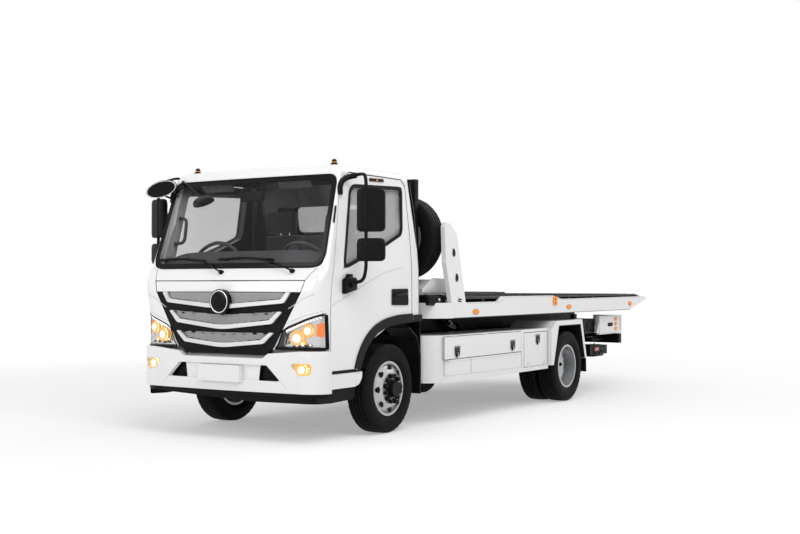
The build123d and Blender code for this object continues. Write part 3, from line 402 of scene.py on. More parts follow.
def rounded(points, radius, steps=6):
    """Closed outline with its corners rounded; radius is one value or one for each corner."""
    count = len(points)
    radii = radius if isinstance(radius, (list, tuple)) else [radius] * count
    out = []
    for i, (corner, r) in enumerate(zip(points, radii)):
        c = Vector(corner)
        a, b = Vector(points[i - 1]) - c, Vector(points[(i + 1) % count]) - c
        if r <= 0:
            out.append(c)
            continue
        half = a.angle(b) / 2
        reach = min(r / math.tan(half), 0.49 * a.length, 0.49 * b.length)
        out += corner_curve(c + a.normalized() * reach, c, c + b.normalized() * reach, steps)
    return out


def dense(points, gap, closed=True):
    """Points added so that no run is longer than gap."""
    out = []
    points = [Vector(p) for p in points]
    for a, b in zip(points, points[1:] + points[:1] if closed else points[1:]):
        count = max(1, math.ceil((b - a).length / gap))
        out += [a + (b - a) * (k / count) for k in range(count)]
    return out if closed else out + points[-1:]


def box(x0, z0, x1, z1, radius, steps):
    """Upright rectangle with rounded corners."""
    return rounded(((x0, z0), (x1, z0), (x1, z1), (x0, z1)), radius, steps)


def ring(x, z, rx, rz):
    """Ellipse of the side lamps."""
    return [(x + rx * math.cos(a), z + rz * math.sin(a)) for a in turns(28)]


# ---- mesh builder -------------------------------------------------------
def from_middle(c):
    """Outward direction of most forms: away from an upright line inside the cab."""
    return c - P(-500, 0, c.z)


class Shape:
    """One piece of the truck, made of several forms that lie on a surface and face outward."""

    def __init__(self, name, surface=None, outward=from_middle):
        self.name, self.surface, self.outward = name, surface, outward
        self.bm = bmesh.new()
        self.mats = []

    def finish(self, faces, mat):
        """Smooth new faces and give them their material."""
        if mat not in self.mats:
            self.mats.append(mat)
        for face in faces:
            face.material_index = self.mats.index(mat)
            face.smooth = True
        return self

    def merge(self, part, mat, centre=Vector()):
        """Take over another mesh, moved to a centre."""
        new = {v: self.bm.verts.new(v.co + centre) for v in part.verts}
        faces = [self.bm.faces.new([new[v] for v in f.verts]) for f in part.faces]
        part.free()
        return self.finish(faces, mat)

    def loft(self, rings, mat, closed=True, caps=True):
        """Skin over rings of as many points each."""
        verts = [[self.bm.verts.new(p) for p in r] for r in rings]
        count = len(verts[0])
        faces = [self.bm.faces.new((a[k], a[(k + 1) % count], b[(k + 1) % count], b[k]))
                 for a, b in zip(verts, verts[1:]) for k in range(count if closed else count - 1)]
        if caps:
            faces += [self.bm.faces.new(verts[0][::-1]), self.bm.faces.new(verts[-1])]
        return self.finish(faces, mat)

    def block(self, corner, opposite, mat, bevel, segments=2):
        """Block with rounded edges between two opposite corners."""
        size, centre = Vector(opposite) - Vector(corner), (Vector(opposite) + Vector(corner)) / 2
        size = Vector([abs(v) for v in size])
        part = bmesh.new()
        bmesh.ops.create_cube(part, size=1.0)
        for v in part.verts:
            v.co = v.co * size
        bmesh.ops.bevel(part, geom=part.edges[:], offset=min(bevel, 0.45 * min(size)), segments=segments,
                        affect="EDGES", profile=0.5)
        return self.merge(part, mat, centre)

    def turned(self, profile, origin, mat, segments=32, axis=None):
        """Round form; profile is (distance along the axis, radius)."""
        axis = Vector(self.outward(origin) if axis is None else axis).normalized()
        side = axis.orthogonal().normalized()
        up = axis.cross(side)
        rings = [[Vector(origin) + axis * a + (side * math.cos(t) + up * math.sin(t)) * max(r, 0.01)
                  for t in turns(segments)] for a, r in profile]
        return self.loft(rings, mat)

    def rod(self, start, end, radius, mat, segments=14):
        axis, c = end - start, 0.15 * radius
        return self.turned(((0, radius - c), (c, radius), (axis.length - c, radius),
                            (axis.length, radius - c)), start, mat, segments, axis)

    def pipe(self, points, radius, mat, segments=12, flat=1.0, bend=0, closed=False):
        """Tube along points; bend rounds its corners and flat squashes its section."""
        pts = list(points)
        if bend:
            smooth = [pts[0]]
            for a, c, b in zip(pts, pts[1:], pts[2:]):
                r = min(bend, 0.48 * (a - c).length, 0.48 * (b - c).length)
                smooth += corner_curve(c + (a - c).normalized() * r, c, c + (b - c).normalized() * r, 6)
            pts = smooth + [pts[-1]]
        count = len(pts)
        tangents = []
        for i in range(count):
            before = pts[i - 1] if i or closed else pts[i]
            after = pts[(i + 1) % count] if i < count - 1 or closed else pts[i]
            tangents.append((after - before).normalized())
        normal = tangents[0].orthogonal().normalized()
        rings = []
        for p, t in zip(pts, tangents):
            normal = (normal - t * normal.dot(t)).normalized()
            other = t.cross(normal)
            rings.append([p + normal * radius * math.cos(a) + other * radius * flat * math.sin(a)
                          for a in turns(segments)])
        if closed:
            rings.append(rings[0])
        return self.loft(rings, mat, caps=not closed)

    def prism(self, outline, depth, mat, bevel, on=None, outward=None):
        """Outline on a surface, thickened by depth along the outward direction."""
        part = bmesh.new()
        face = part.faces.new([part.verts.new((on or self.surface)(*p)) for p in outline])
        out = bmesh.ops.extrude_face_region(part, geom=[face])
        for v in (g for g in out["geom"] if isinstance(g, bmesh.types.BMVert)):
            v.co += (outward or self.outward)(v.co) * depth
        bmesh.ops.recalc_face_normals(part, faces=part.faces[:])
        bmesh.ops.bevel(part, geom=part.edges[:], offset=bevel, segments=2, affect="EDGES", profile=0.5)
        return self.merge(part, mat)

    def skin(self, part, lift, thick, mat, outward):
        """Closed skin from an open sheet: lifted along outward, with its underside thick below."""
        outward = outward or self.outward
        bmesh.ops.recalc_face_normals(part, faces=part.faces[:])
        part.normal_update()
        if sum((f.normal.dot(outward(f.calc_center_median())) * f.calc_area() for f in part.faces), 0) < 0:
            bmesh.ops.reverse_faces(part, faces=part.faces[:])
        part.normal_update()
        top = {v: self.bm.verts.new(v.co + v.normal * lift) for v in part.verts}
        low = {v: self.bm.verts.new(v.co + v.normal * (lift - thick)) for v in part.verts}
        faces = []
        for f in part.faces:
            faces.append(self.bm.faces.new([top[v] for v in f.verts]))
            faces.append(self.bm.faces.new([low[v] for v in reversed(f.verts)]))
        for e in part.edges:
            if len(e.link_faces) == 1:
                loop = e.link_loops[0]
                a, b = loop.vert, loop.link_loop_next.vert
                faces.append(self.bm.faces.new((top[b], top[a], low[a], low[b])))
        part.free()
        return self.finish(faces, mat)

    def ribbon(self, path, width, mat, lift, thick, on=None, closed=False, outward=None, gap=30, across=1):
        """Strip along a path drawn in a view; width is one value or (left, right) of the path."""
        left, right = width if isinstance(width, tuple) else (width / 2, width / 2)
        pts = dense(path, gap, closed)
        count = len(pts)
        rows = []
        for i, p in enumerate(pts):
            a = pts[i - 1] if i or closed else p
            b = pts[(i + 1) % count] if i < count - 1 or closed else p
            d1, d2 = (p - a).normalized(), (b - p).normalized()
            d1, d2 = (d1 if d1.length else d2), (d2 if d2.length else d1)
            n1, n2 = Vector((-d1.y, d1.x)), Vector((-d2.y, d2.x))
            m = n1 + n2
            m = m.normalized() / max(0.5, m.normalized().dot(n1)) if m.length > 1e-6 else n1
            rows.append([p + m * (left - (left + right) * k / across) for k in range(across + 1)])
        part = bmesh.new()
        verts = [[part.verts.new((on or self.surface)(*q)) for q in row] for row in rows]
        for i in range(count if closed else count - 1):
            a, b = verts[i], verts[(i + 1) % count]
            for k in range(across):
                part.faces.new((a[k], a[k + 1], b[k + 1], b[k]))
        return self.skin(part, lift, thick, mat, outward)

    def seam(self, path, width, mat="soft_seam"):
        # the default grey line serves for seams and for painted shade along creases
        return self.ribbon(path, width, mat, 0.6, 2)

    def panel(self, outline, mat, lift, thick, gap, on=None, outward=None):
        """Filled outline drawn in a view, with inner points so that it follows the surface."""
        edge = dense(outline, gap)
        xs, zs = [p.x for p in edge], [p.y for p in edge]
        inner = []
        for i in range(1, int((max(xs) - min(xs)) / gap) + 1):
            for k in range(1, int((max(zs) - min(zs)) / gap) + 1):
                q = Vector((min(xs) + i * gap, min(zs) + k * gap))
                if inside(q, edge) and min((q - e).length for e in edge) > 0.4 * gap:
                    inner.append(q)
        count = len(edge)
        verts, _, faces, *_ = delaunay_2d_cdt(edge + inner, [(i, (i + 1) % count) for i in range(count)],
                                              [], 1, 0.001)
        part = bmesh.new()
        made = [part.verts.new((on or self.surface)(*v)) for v in verts]
        for f in faces:
            if len(set(f)) >= 3:
                part.faces.new([made[i] for i in f])
        return self.skin(part, lift, thick, mat, outward)

    def done(self, body, slot, replaces=(), sharp=35.0, clean=True):
        if clean:
            bmesh.ops.remove_doubles(self.bm, verts=self.bm.verts[:], dist=0.001)
        self.bm.transform(TO_ROW)
        mesh = bpy.data.meshes.new(self.name)
        self.bm.to_mesh(mesh)
        self.bm.free()
        for mat in self.mats:
            mesh.materials.append(MAT[mat])
        mesh.set_sharp_from_angle(angle=math.radians(sharp))
        obj = bpy.data.objects.new(self.name, mesh)
        bpy.context.scene.collection.objects.link(obj)
        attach(obj, body)
        if replaces:
            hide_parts(*replaces)
        return obj


def inside(q, outline):
    hit = False
    for a, b in zip(outline, outline[1:] + outline[:1]):
        if (a.y > q.y) != (b.y > q.y) and q.x < (b.x - a.x) * (q.y - a.y) / (b.y - a.y) + a.x:
            hit = not hit
    return hit


def mirrored(points, side):
    return [(side * y, z) for y, z in points]


# An outward direction is a function of the place on the form.
def sideways(side):
    return lambda c: P(0, side, 0)


FORWARD = lambda c: P(1, 0, 0)
UPWARD = lambda c: P(0, 0, 1)

# ---- windshield, front seams and wipers ---------------------------------
GLASS_HALF, GLASS_FOOT, GLASS_HEAD = 930, 1420, 2175
HEAD_BOW, FOOT_BOW = 40, 18


def crowned(points):
    """Windshield outline with its head bowed up and its foot bowed down at the middle."""
    out = []
    for p in points:
        middle = 1 - (p.x / GLASS_HALF) ** 2
        t = (p.y - GLASS_FOOT) / (GLASS_HEAD - GLASS_FOOT)
        out.append(Vector((p.x, p.y + middle * (HEAD_BOW * t - FOOT_BOW * (1 - t)))))
    return out


frit = crowned(rounded(((-925, 1420), (925, 1420), (880, 2172), (-880, 2172)), (120, 120, 75, 75), 8))
shape = Shape("windshield_surround", cab_front)
shape.ribbon(frit, (41, 0), "gloss_black", 1.5, 3, closed=True, gap=40, across=3)
shape.ribbon(frit, (10, 4), "seal", 4, 5, closed=True, gap=40, across=2)
shape.done("cab", "black_plastic")

shape = Shape("front_seams", cab_front)
for _, side in SIDES:
    shape.ribbon(mirrored(((868, 1412), (842, 1375), (802, 1308)), side), 5, "seam", 0.8, 2)
    shape.seam(mirrored(((955, 1375), (885, 1435)), side), 4)
    shape.seam(mirrored(((660, 1085), (800, 1165), (900, 1200)), side), 6)
    shape.seam(mirrored(((955, 1072), (800, 1025), (640, 965)), side), 5)
shape.done("cab", "white_paint")

WIPERS = (((-78, 1378), (-330, 1470), ((-855, 1487), (-600, 1497), (-300, 1474))),
          ((650, 1384), (300, 1478), ((-150, 1484), (130, 1497), (436, 1478))))
for count, (pivot, elbow, blade) in enumerate(WIPERS):
    def off(p, lift):
        return cab_front(*p) + P(0.95 * lift, 0, 0.31 * lift)
    shape = Shape(f"wiper_{count + 1}", cab_front)
    shape.turned(((-4, 20), (12, 20), (30, 15), (36, 8)), off(pivot, 0), "plastic", 20,
                 axis=(0.95, 0, 0.31))
    near = (pivot[0] - 50, pivot[1] + 16)
    shape.pipe((off(pivot, 26), off(near, 34),
                off(((near[0] + elbow[0]) / 2, (near[1] + elbow[1]) / 2 + 12), 34), off(elbow, 26),
                off((elbow[0] - 100, elbow[1] + 8), 22)), 8.5, "plastic", bend=30, flat=0.7)
    shape.pipe([off(p, 18) for p in blade], 8.5, "plastic", bend=150)
    for t in (0.15, 0.38, 0.62, 0.85):
        spot = (blade[0][0] + (blade[2][0] - blade[0][0]) * t, blade[1][1] - 26 * abs(t - 0.5) * 2)
        shape.rod(off((spot[0] - 14, spot[1]), 18), off((spot[0] + 14, spot[1]), 18), 12, "plastic")
    shape.ribbon([(p[0], p[1] - 4) for p in blade], 6, "seal", 12, 10, gap=50)
    shape.done("cab", "black_plastic")

# ---- grille -------------------------------------------------------------
# Front of each bar at the centre line, outer tip, lower corner, centre of the top and low point.
BARS = ((1104, (690, 1216), (628, 1129), 1216, 1076), (1098, (608, 1060), (510, 961), 1030, 908),
        (1092, (526, 890), (424, 799), 884, 760))
BADGE_Z, BADGE_R = 1137, 103
BAR_FRAME, BAR_REACH, BAR_FALL, POCKET = 36, 700, 42, 26


def bar_front(apex):
    """Face of a bar, which falls back by BAR_FALL at BAR_REACH from the middle."""
    radius = (BAR_REACH ** 2 + BAR_FALL ** 2) / (2 * BAR_FALL)
    return lambda y, z: P(apex - radius + math.sqrt(radius ** 2 - y * y), y, z)


mesh_piece = Shape("grille_mesh", outward=FORWARD)
DASH_PITCH, ROW_PITCH = 12.5, 8.5
for apex, tip, corner, top, low in BARS:
    y_corner, z_corner = corner[0] - BAR_FRAME, corner[1] + BAR_FRAME
    y_tip, z_tip = tip[0] - BAR_FRAME * 1.35, tip[1] - 2
    half = [(y_tip, z_tip), (y_corner, z_corner), (0, low + BAR_FRAME + 2)]
    field = [Vector(p) for p in half] + [Vector((-y, z)) for y, z in half[1::-1]] + [Vector((0, top - 2))]
    field_at = bar_front(apex - POCKET)
    mesh_piece.panel(field, "mesh_grey", 3, 4, 40, on=field_at)
    row, z = 0, low + BAR_FRAME
    while z < max(z_tip, top):
        for k in range(-60, 61):
            y = (k + 0.5 * (row % 2)) * DASH_PITCH
            if abs(y) < y_tip and inside(Vector((y, z)), field):
                if apex == BARS[0][0] and math.hypot(y, z - BADGE_Z) < BADGE_R:
                    continue
                spot = field_at(y, z)
                wide, tall, deep = 5, 2.7, 9
                rings = [[spot + P(deep * d, y2 * wide * s, z2 * tall * s)
                          for y2, z2 in ((-1, 0), (-0.6, 1), (0.6, 1), (1, 0), (0.6, -1), (-0.6, -1))]
                         for d, s in ((0.3, 1), (1, 0.75))]
                mesh_piece.loft(rings, "satin")
        row, z = row + 1, z + ROW_PITCH
mesh_piece.done("front_lid", "silver_trim", clean=False)

BAR_ROUNDING = (10, 45, 900, 45, 10, 8, 35, 900, 35, 8)
shape = Shape("grille_frames", outward=FORWARD)
for apex, tip, corner, top, low in BARS:
    inner_tip, inner_corner = (tip[0] - 43, tip[1]), (corner[0] - 26, corner[1] + 30)
    half = [(tip[0], tip[1]), (corner[0], corner[1]), (0, low)]
    core = [(0, low + BAR_FRAME), inner_corner, inner_tip]
    edge = half + [(-y, z) for y, z in half[1::-1]] + [(-y, z) for y, z in core[:0:-1]] + core
    shape.panel(rounded(edge, BAR_ROUNDING), "satin", 0, 45, 40, on=bar_front(apex))
shape.done("front_lid", "silver_trim", replaces=("grille_bars",))

shape = Shape("round_badge", outward=FORWARD)
centre = P(1122.5, 0, BADGE_Z)
shape.turned(((-45, BADGE_R), (0, BADGE_R), (3, 100), (4.5, 95), (3, 93.5)), centre, "gloss_black", 64)
shape.turned(((2, 94.5), (6, 93.5), (6.8, 89.5), (6, 85.8), (2, 85)), centre, "chrome", 64)
shape.turned(((0, 86.5), (3, 85.5), (5.5, 72), (7.5, 40), (8.2, 0)), centre, "gloss_black", 64)
shape.done("front_lid", "black_plastic")

shape = Shape("grille_detail")
for y in (-270, -90, 90, 270):
    for height, station in ((735, 1044), (1055, 1066)):
        shape.turned(((0, 6), (3, 6), (4, 3)), P(station - y * y / BOW, y, height), "hub", 10,
                     axis=(1, 0, 0))
for apex, height, reach in ((1075, 1052, 600), (1070, 895, 500)):
    for y in [k * 110 for k in range(-5, 6)]:
        if abs(y) < reach:
            p = cab_front(y, height - 100 * (1 - abs(y) / 700) * 0.3)
            shape.block(p + P(-4, -22, -7), p + P(10, 22, 7), "plastic", 2)
shape.done("front_lid", "black_plastic")

# ---- headlamps and fog lamps --------------------------------------------
HEADLAMP = ((528, 757), (560, 800), (604, 905), (660, 938), (944, 1044), (948, 757))
FOG = ((698, 628), (716, 650), (872, 650), (884, 625), (878, 575), (850, 552), (770, 556))


def sunk(y, z, depth):
    """Point behind the cab's front face, moved back and, near the corner, towards the middle."""
    p = cab_front(y, z)
    inward = P(-1000, -math.copysign(max(0, abs(y) - 600), y), 0).normalized()
    return p + inward * depth


def sunk_by(depth):
    return lambda y, z: sunk(y, z, depth)


def lamp_cup(shape, centre, radius, aim, glow_mat):
    """Reflector bowl with a painted warm glow for the bulb's light in it, and a glowing lens ahead of its
    middle.
    """
    shape.turned(((34, radius * 1.06), (36, radius), (20, radius * 0.93), (4, radius * 0.62),
                  (-4, radius * 0.30)), centre, "reflector_painted_glow", 28, axis=aim)
    shape.turned(((10, radius * 0.93), (22, radius * 0.90), (33, radius * 0.66), (39, radius * 0.32),
                  (40, 0)), centre, glow_mat, 28, axis=aim)
    ahead = Vector(aim).normalized()
    across = ahead.cross(P(0, 0, 1)).normalized()
    for a in turns(10):
        edge = across * math.cos(a) + P(0, 0, math.sin(a))
        shape.pipe((centre + ahead * 26 + edge * radius * 0.78, centre + ahead * 34 + edge * radius * 1.02),
                   2.8, "chrome", 6)


for hand, side in SIDES:
    fog_y = side * 792
    shape = Shape(f"headlamp_{hand}", cab_front, lambda c: P(1, 0.4 * side, 0))
    outline = mirrored(HEADLAMP, side)
    inner = rounded(outline, 12, 3)
    shape.panel(inner, "chrome", 0, 4, 35, on=sunk_by(52))
    shape.ribbon(inner, (0, 6), "plastic", 26, 52, on=sunk_by(28), closed=True, gap=50)
    lens = rounded(outline, 14, 4)
    shape.panel(lens, "lens", -1, 3, 35)
    shape.ribbon(lens, (2, 4), "gloss_black", 3, 6, closed=True, gap=40, across=2)
    aim = P(0.97, 0.24 * side, 0)
    for y, z, r, core in ((721, 848, 55, "bulb"), (829, 910, 46, "bulb"), (780, 806, 18, "bulb_soft")):
        lamp_cup(shape, sunk(side * y, z, 50), r, aim, core)
        shape.turned(((14, r * 1.22), (19, r * 1.19), (21, r * 1.06), (10, r * 1.02)),
                     sunk(side * y, z, 50), "fog_amber", 24, axis=aim)
    shape.ribbon([(side * y, z) for y, z in ((532, 758), (740, 757), (945, 757))], (20, 4), "gloss_black",
                 4, 7, across=2)
    for k in range(15):
        y = 630 + k * 20.5
        z = 907.5 + (y - 630) * 0.372
        p = sunk(side * y, z, 20)
        shape.block(p - P(6, 7, 8), p + P(6, 7, 8), "led", 2)
    strip = [(side * 626, 890), (side * 660, 910), (side * 930, 1011)]
    shape.ribbon(strip, 8, "chrome", 8, 16, on=sunk_by(24))
    amber = mirrored(rounded(((893, 866), (936, 858), (937, 975), (900, 962)), 12, 3), side)
    shape.panel(amber, "indicator", 2, 12, 30, on=sunk_by(18))
    for k in range(5):
        low, high = 790 + 4 * k, 868 - 10 * k
        y = 585 + 14 * k
        a, b = sunk(side * y, low, 30), sunk(side * (y + 12), high, 30)
        shape.pipe((a, b), 4, "chrome" if k % 2 else "plastic", 8)
    for k in range(6):
        y = 700 + 30 * k
        p = sunk(side * y, 783 + 2 * k, 26)
        shape.block(p - P(12, 11, 9), p + P(10, 11, 9),
                    "chrome" if k % 2 else "gloss_black", 3)
    shape.done("cab", "lamp_lens", replaces=("headlamps",))

    shape = Shape(f"fog_lamp_{hand}", bumper_inset(40), lambda c: P(1, 0.3 * side, 0))
    outline = mirrored(FOG, side)
    shape.panel(rounded(outline, 16, 4), "fog_amber", 0, 4, 25)
    shape.ribbon(rounded(outline, 16, 4), (6, 0), "white", 26, 44, on=bumper_inset(30), closed=True, gap=30)
    shape.panel(rounded([(y + side * 1, z) for y, z in outline], 20, 4), "lens", 0, 3, 25,
                on=bumper_inset(13))
    lamp_cup(shape, bumper_front(fog_y, 601, 44), 46, (0.99, 0.12 * side, 0), "fog_glow")
    for t in [a + 0.3 for a in turns(8)]:
        p = bumper_front(fog_y + 58 * math.cos(t) * 0.98, 601 + 34 * math.sin(t), 36)
        shape.block(p - P(3, 6, 4), p + P(4, 6, 4), "bulb_soft", 1.5)
    shape.done("cab", "lamp_lens")

# ---- bumper details -----------------------------------------------------
shape = Shape("number_plate", flat_front(1131.6), FORWARD)
plate = box(-205, 492, 205, 611, 14, 5)
shape.ribbon(plate, (0, 5), "soft_seam", 0, 4, closed=True)
shape.panel(plate, "white", 0.6, 3, 50, on=flat_front(1130.8))
for y in (-150, 150):
    shape.turned(((0, 5), (1.6, 4), (2, 1)), P(1129.8, y, 598), "satin", 12)
shape.done("cab", "white_paint")

VENT = ((404, 622), (452, 622), (579, 505), (388, 505))
for hand, side in SIDES:
    shape = Shape(f"bumper_vent_{hand}", bumper_inset(40), FORWARD)
    vent = rounded(mirrored(VENT, side), 10, 3)
    shape.panel(vent, "plastic", 0, 4, 30)
    shape.ribbon(vent, (6, 3), "plastic", 12, 30, on=bumper_inset(26), closed=True)
    for k in range(4):
        z = 528 + 24 * k
        inner, outer = 398, 560 - 26 * k
        shape.pipe([bumper_front(side * y, z, 30) for y in (inner, (inner + outer) / 2, outer)], 4,
                   "plastic", 8)
    shape.done("cab", "black_plastic")

# painted shade along the bumper's creases
shape = Shape("bumper_crease_shade", bumper_inset(-0.2))
for _, side in SIDES:
    shape.ribbon(mirrored(((470, 628), (640, 470), (660, 440)), side), 4, "soft_seam", 0.4, 2,
                 outward=lambda c: P(1, 0.3 * side, 0))
shape.done("cab", "white_paint")

# black apron and wings under the bumper: partly the black lower skirt, partly a dark sheet painting the
# shadow under the front
shape = Shape("bumper_apron_and_shade", bumper_inset(55), FORWARD)
apron = ((-890, 420), (-890, 372), (-300, 352), (260, 325), (898, 328), (898, 420))
shape.panel(rounded(apron, 12, 3), "plastic", 0, 6, 50)
for hand, side in SIDES:
    wing = ((992, 425), (992, 328), (800, 320), (470, 330), (440, 425))
    shape.panel(rounded(wing, 20, 3), "plastic", 0, 6, 50, on=flat_side(side * 895), outward=sideways(side))
shape.done("cab", "black_plastic")

for hand, side in SIDES:
    shape = Shape(f"step_end_{hand}", flat_side(side * 925))
    end = rounded(((545, 562), (432, 560), (440, 500), (485, 452), (545, 442)),
                  (0, 12, 40, 50, 0), 5)
    shape.prism(end, 35.2, "white", 4, outward=sideways(side))
    shape.done("cab", "white_paint")

# ---- doors: window rubber, handle, arch trim, seams, mirrors ------------
WINDOW = ((712, 1400), (88, 1600), (-200, 1712), (-225, 1760), (-262, 2135), (500, 2105),
          (560, 2060))
ARCH = ((504, 572), (466, 662), (420, 733), (366, 793), (300, 845), (225, 886), (140, 916),
        (45, 938), (-60, 953), (-170, 962), (-345, 966))
ARCH_REAR = ((-355, 967), (-503, 972))
SILL = ((878, 573), (512, 573))
REAR_SEAM = ((-402, 2190), (-448, 1900), (-470, 1000))

for hand, side in SIDES:
    outward = sideways(side)
    surface = cab_side(side)
    shape = Shape(f"door_window_seal_{hand}", surface, outward)
    window = rounded(WINDOW, (50, 250, 60, 60, 50, 100, 100), 5)
    shape.ribbon(window, (6, 25), "seal", 3, 6, closed=True, gap=40, across=3)
    shape.done("door_" + hand, "black_plastic")

    shape = Shape(f"door_handle_{hand}", flat_side(side * 966.5), outward)
    recess = rounded(((-274, 1098), (-12, 1103), (-12, 1236), (-270, 1239)), 18, 4)
    shape.panel(recess, "plastic", 1.2, 4, 40)
    shape.ribbon(recess, (4, 3), "gloss_black", 3, 4, closed=True)
    y = side * 971.5
    shape.pipe([P(x, y + side * dy, z) for x, dy, z in ((-245, 0, 1196), (-225, 10, 1197),
               (-60, 10, 1186), (-40, 0, 1184))], 15, "gloss_black", bend=20, flat=0.55)
    shape.turned(((0, 14), (3, 14), (5, 10), (5, 4)), P(-55, side * 967, 1140), "hub", 20)
    shape.done("door_" + hand, "black_plastic")

    shape = Shape(f"arch_trim_{hand}", flat_side(side * 972.5), outward)
    shape.ribbon(ARCH, (22, 55), "trim_grey", 2, 16, gap=40, across=2)
    shape.ribbon(SILL, 26, "seal", 1, 20, on=flat_side(side * 961.5))
    shape.done("door_" + hand, "black_plastic")
    shape = Shape(f"arch_trim_rear_{hand}", flat_side(side * 972.5), outward)
    shape.ribbon(ARCH_REAR, (22, 40), "trim_grey", 2, 16, across=2)
    shape.done("cab", "black_plastic")
    shape = Shape(f"front_flap_{hand}", flat_side(side * 940), outward)
    shape.ribbon(((-470, 990), (-512, 965), (-520, 640), (-500, 310)), 12, "plastic", 4, 90)
    shape.done("chassis", "black_plastic")

    shape = Shape(f"cab_side_seams_{hand}", surface, outward)
    shape.ribbon(REAR_SEAM, 5, "seam", 0.8, 2)
    shape.ribbon(((770, 1916), (811, 1779)), 18, "seal", 3, 6,
                 on=lambda x, z: P(x - 6, side * (rows_at(CAB_ROWS, z)[1] - 2), z))
    drip = rounded(((640, 2150), (550, 2212), (-260, 2212), (-330, 2150)), (0, 50, 50, 0), 4)
    shape.ribbon(drip, 6, "soft_seam", 2, 4)
    shape.done("cab", "white_paint")

    shape = Shape(f"door_details_{hand}", surface, outward)
    # painted shade along the door's body-line crease
    shape.seam(((872, 1108), (600, 1205), (300, 1315), (88, 1383), (-200, 1430)), 6)
    lamp_bar = rounded(((34, 2160), (254, 2152), (254, 2178), (34, 2186)), 12, 4)
    shape.panel(lamp_bar, "gloss_black", 8, 10, 30)
    shape.turned(((0, 10), (3, 10), (5, 5)), surface(144, 2169) + P(0, side * 8, 0), "orange", 16)
    shape.done("door_" + hand, "black_plastic")

    # mirrors on their tube, with the bracket block on the door
    shape = Shape(f"mirror_set_{hand}", outward=outward)
    y_tube = side * 1138

    def turned_head(along, out, z):
        """Point of a mirror head, turned 20 degrees towards the driver about its tube."""
        return P(642 + along * 0.940 - out * 0.342, side * (1138 + along * 0.342 + out * 0.940), z)

    shape.pipe([P(699, side * 918, 2010), P(697, side * 915, 2080), P(660, side * 915, 2132),
                P(604, side * 935, 2160), P(583, side * 1000, 2172)], 23.5, "plastic", 14, bend=60)
    shape.pipe([P(583, side * 970, 2170), P(590, side * 1050, 2182), P(636, side * 1120, 2168),
                P(648, y_tube, 2110), P(648, y_tube, 1400), P(648, side * 1110, 1305),
                P(648, side * 985, 1290)], 14.5, "plastic", 14, bend=60)
    for low, high, sleeve in ((1705, 2057, (1790, 1976)), (1466, 1653, (1513, 1613))):
        rings = []
        ends = ((0, 0.72), (5, 0.85), (14, 0.94), (30, 0.99), (50, 1.0))
        bottom = [(low + lift, grow) for lift, grow in ends]
        top = [(high - lift, grow) for lift, grow in ends[::-1]]
        for z, grow in bottom + top:
            loop = []
            for a in turns(28):
                cx, cy = math.cos(a), math.sin(a)
                sx = abs(cx) ** 0.55 * (1 if cx > 0 else -1)
                sy = abs(cy) ** 0.42 * (1 if cy > 0 else -1)
                front = 36 if cx > 0 else 34
                loop.append(turned_head(-22 + front * grow * sx, 34 + 117.5 * grow * sy, z))
            rings.append(loop)
        shape.loft(rings, "plastic")
        glass_face = box(-62, low + 22, 130, high - 22, 30, 4)
        shape.panel(glass_face, "mirror", 2, 4, 60, on=lambda a, b: turned_head(-55, a, b),
                    outward=lambda c: P(-0.94, -0.34 * side, 0))
        rings = [[P(640 + 24 * g * math.cos(a), y_tube + 26 * g * math.sin(a), z) for a in turns(20)]
                 for z, g in ((sleeve[0], 0.75), (sleeve[0] + 8, 1.0), (sleeve[1] - 8, 1.0),
                              (sleeve[1], 0.75))]
        shape.loft(rings, "plastic")
    shape.prism(rounded(((560, 1237), (735, 1198), (735, 1318), (700, 1336), (580, 1336), (560, 1318)),
                        14, 3), 36, "plastic", 6, on=flat_side(side * 961.5))
    shape.prism(rounded(((615, 1330), (690, 1330), (684, 1364), (621, 1364)), 8, 3), 26, "plastic", 4,
                on=flat_side(side * 966))
    shape.turned(((0, 26), (30, 26), (40, 18)), P(648, side * 985, 1280), "plastic", 20)
    shape.done("door_" + hand, "black_plastic", replaces=("mirror_" + hand,))

# front mirrors of the far side: the round one ahead of the roof corner and the kerb mirror on its stalk
shape = Shape("front_mirrors")
for centre, aim, rx, rz, roll in ((P(800, -955, 2130), P(0.75, 0.35, -0.28), 150, 72, 0.30),
                                  (P(900, -372, 1985), P(-0.55, 0.2, -0.80), 155, 70, 0.0)):
    aim.normalize()
    flat = P(0, 0, 1).cross(aim).normalized()
    rise = aim.cross(flat)
    across = flat * math.cos(roll) + rise * math.sin(roll)
    up = rise * math.cos(roll) - flat * math.sin(roll)

    def oval(depth, grow):
        return [centre + aim * depth + across * rx * grow * math.cos(a) + up * rz * grow * math.sin(a)
                for a in turns(40)]
    shape.loft([oval(d, g) for d, g in ((-45, 0.25), (-38, 0.62), (-20, 0.90), (0, 1.0), (10, 1.0))],
               "plastic")
    shape.loft([oval(d, g) for d, g in ((8, 0.97), (14, 0.98), (17, 0.94), (12, 0.88))], "satin",
               caps=False)
    shape.loft([oval(d, g) for d, g in ((10, 0.93), (14, 0.90), (19, 0.60), (22, 0.25), (23, 0.01))],
               "gloss_black")
shape.pipe([P(560, -880, 2215), P(620, -930, 2240), P(740, -960, 2205), P(776, -960, 2150)], 11,
           "plastic", bend=50)
shape.pipe([P(665, -872, 2060), P(720, -930, 2050), P(780, -965, 2085), P(784, -955, 2115)], 9,
           "plastic", bend=40)
shape.pipe([P(712, -780, 2185), P(760, -700, 2170), P(830, -520, 2080), P(890, -400, 2020)], 9,
           "plastic", bend=60)
for spot in ((560, -880, 2210), (664, -874, 2060), (708, -782, 2183)):
    shape.turned(((0, 22), (8, 22), (16, 13)), P(*spot), "plastic", 18, axis=(0.5, -0.4, 0.5))
shape.done("cab", "black_plastic")

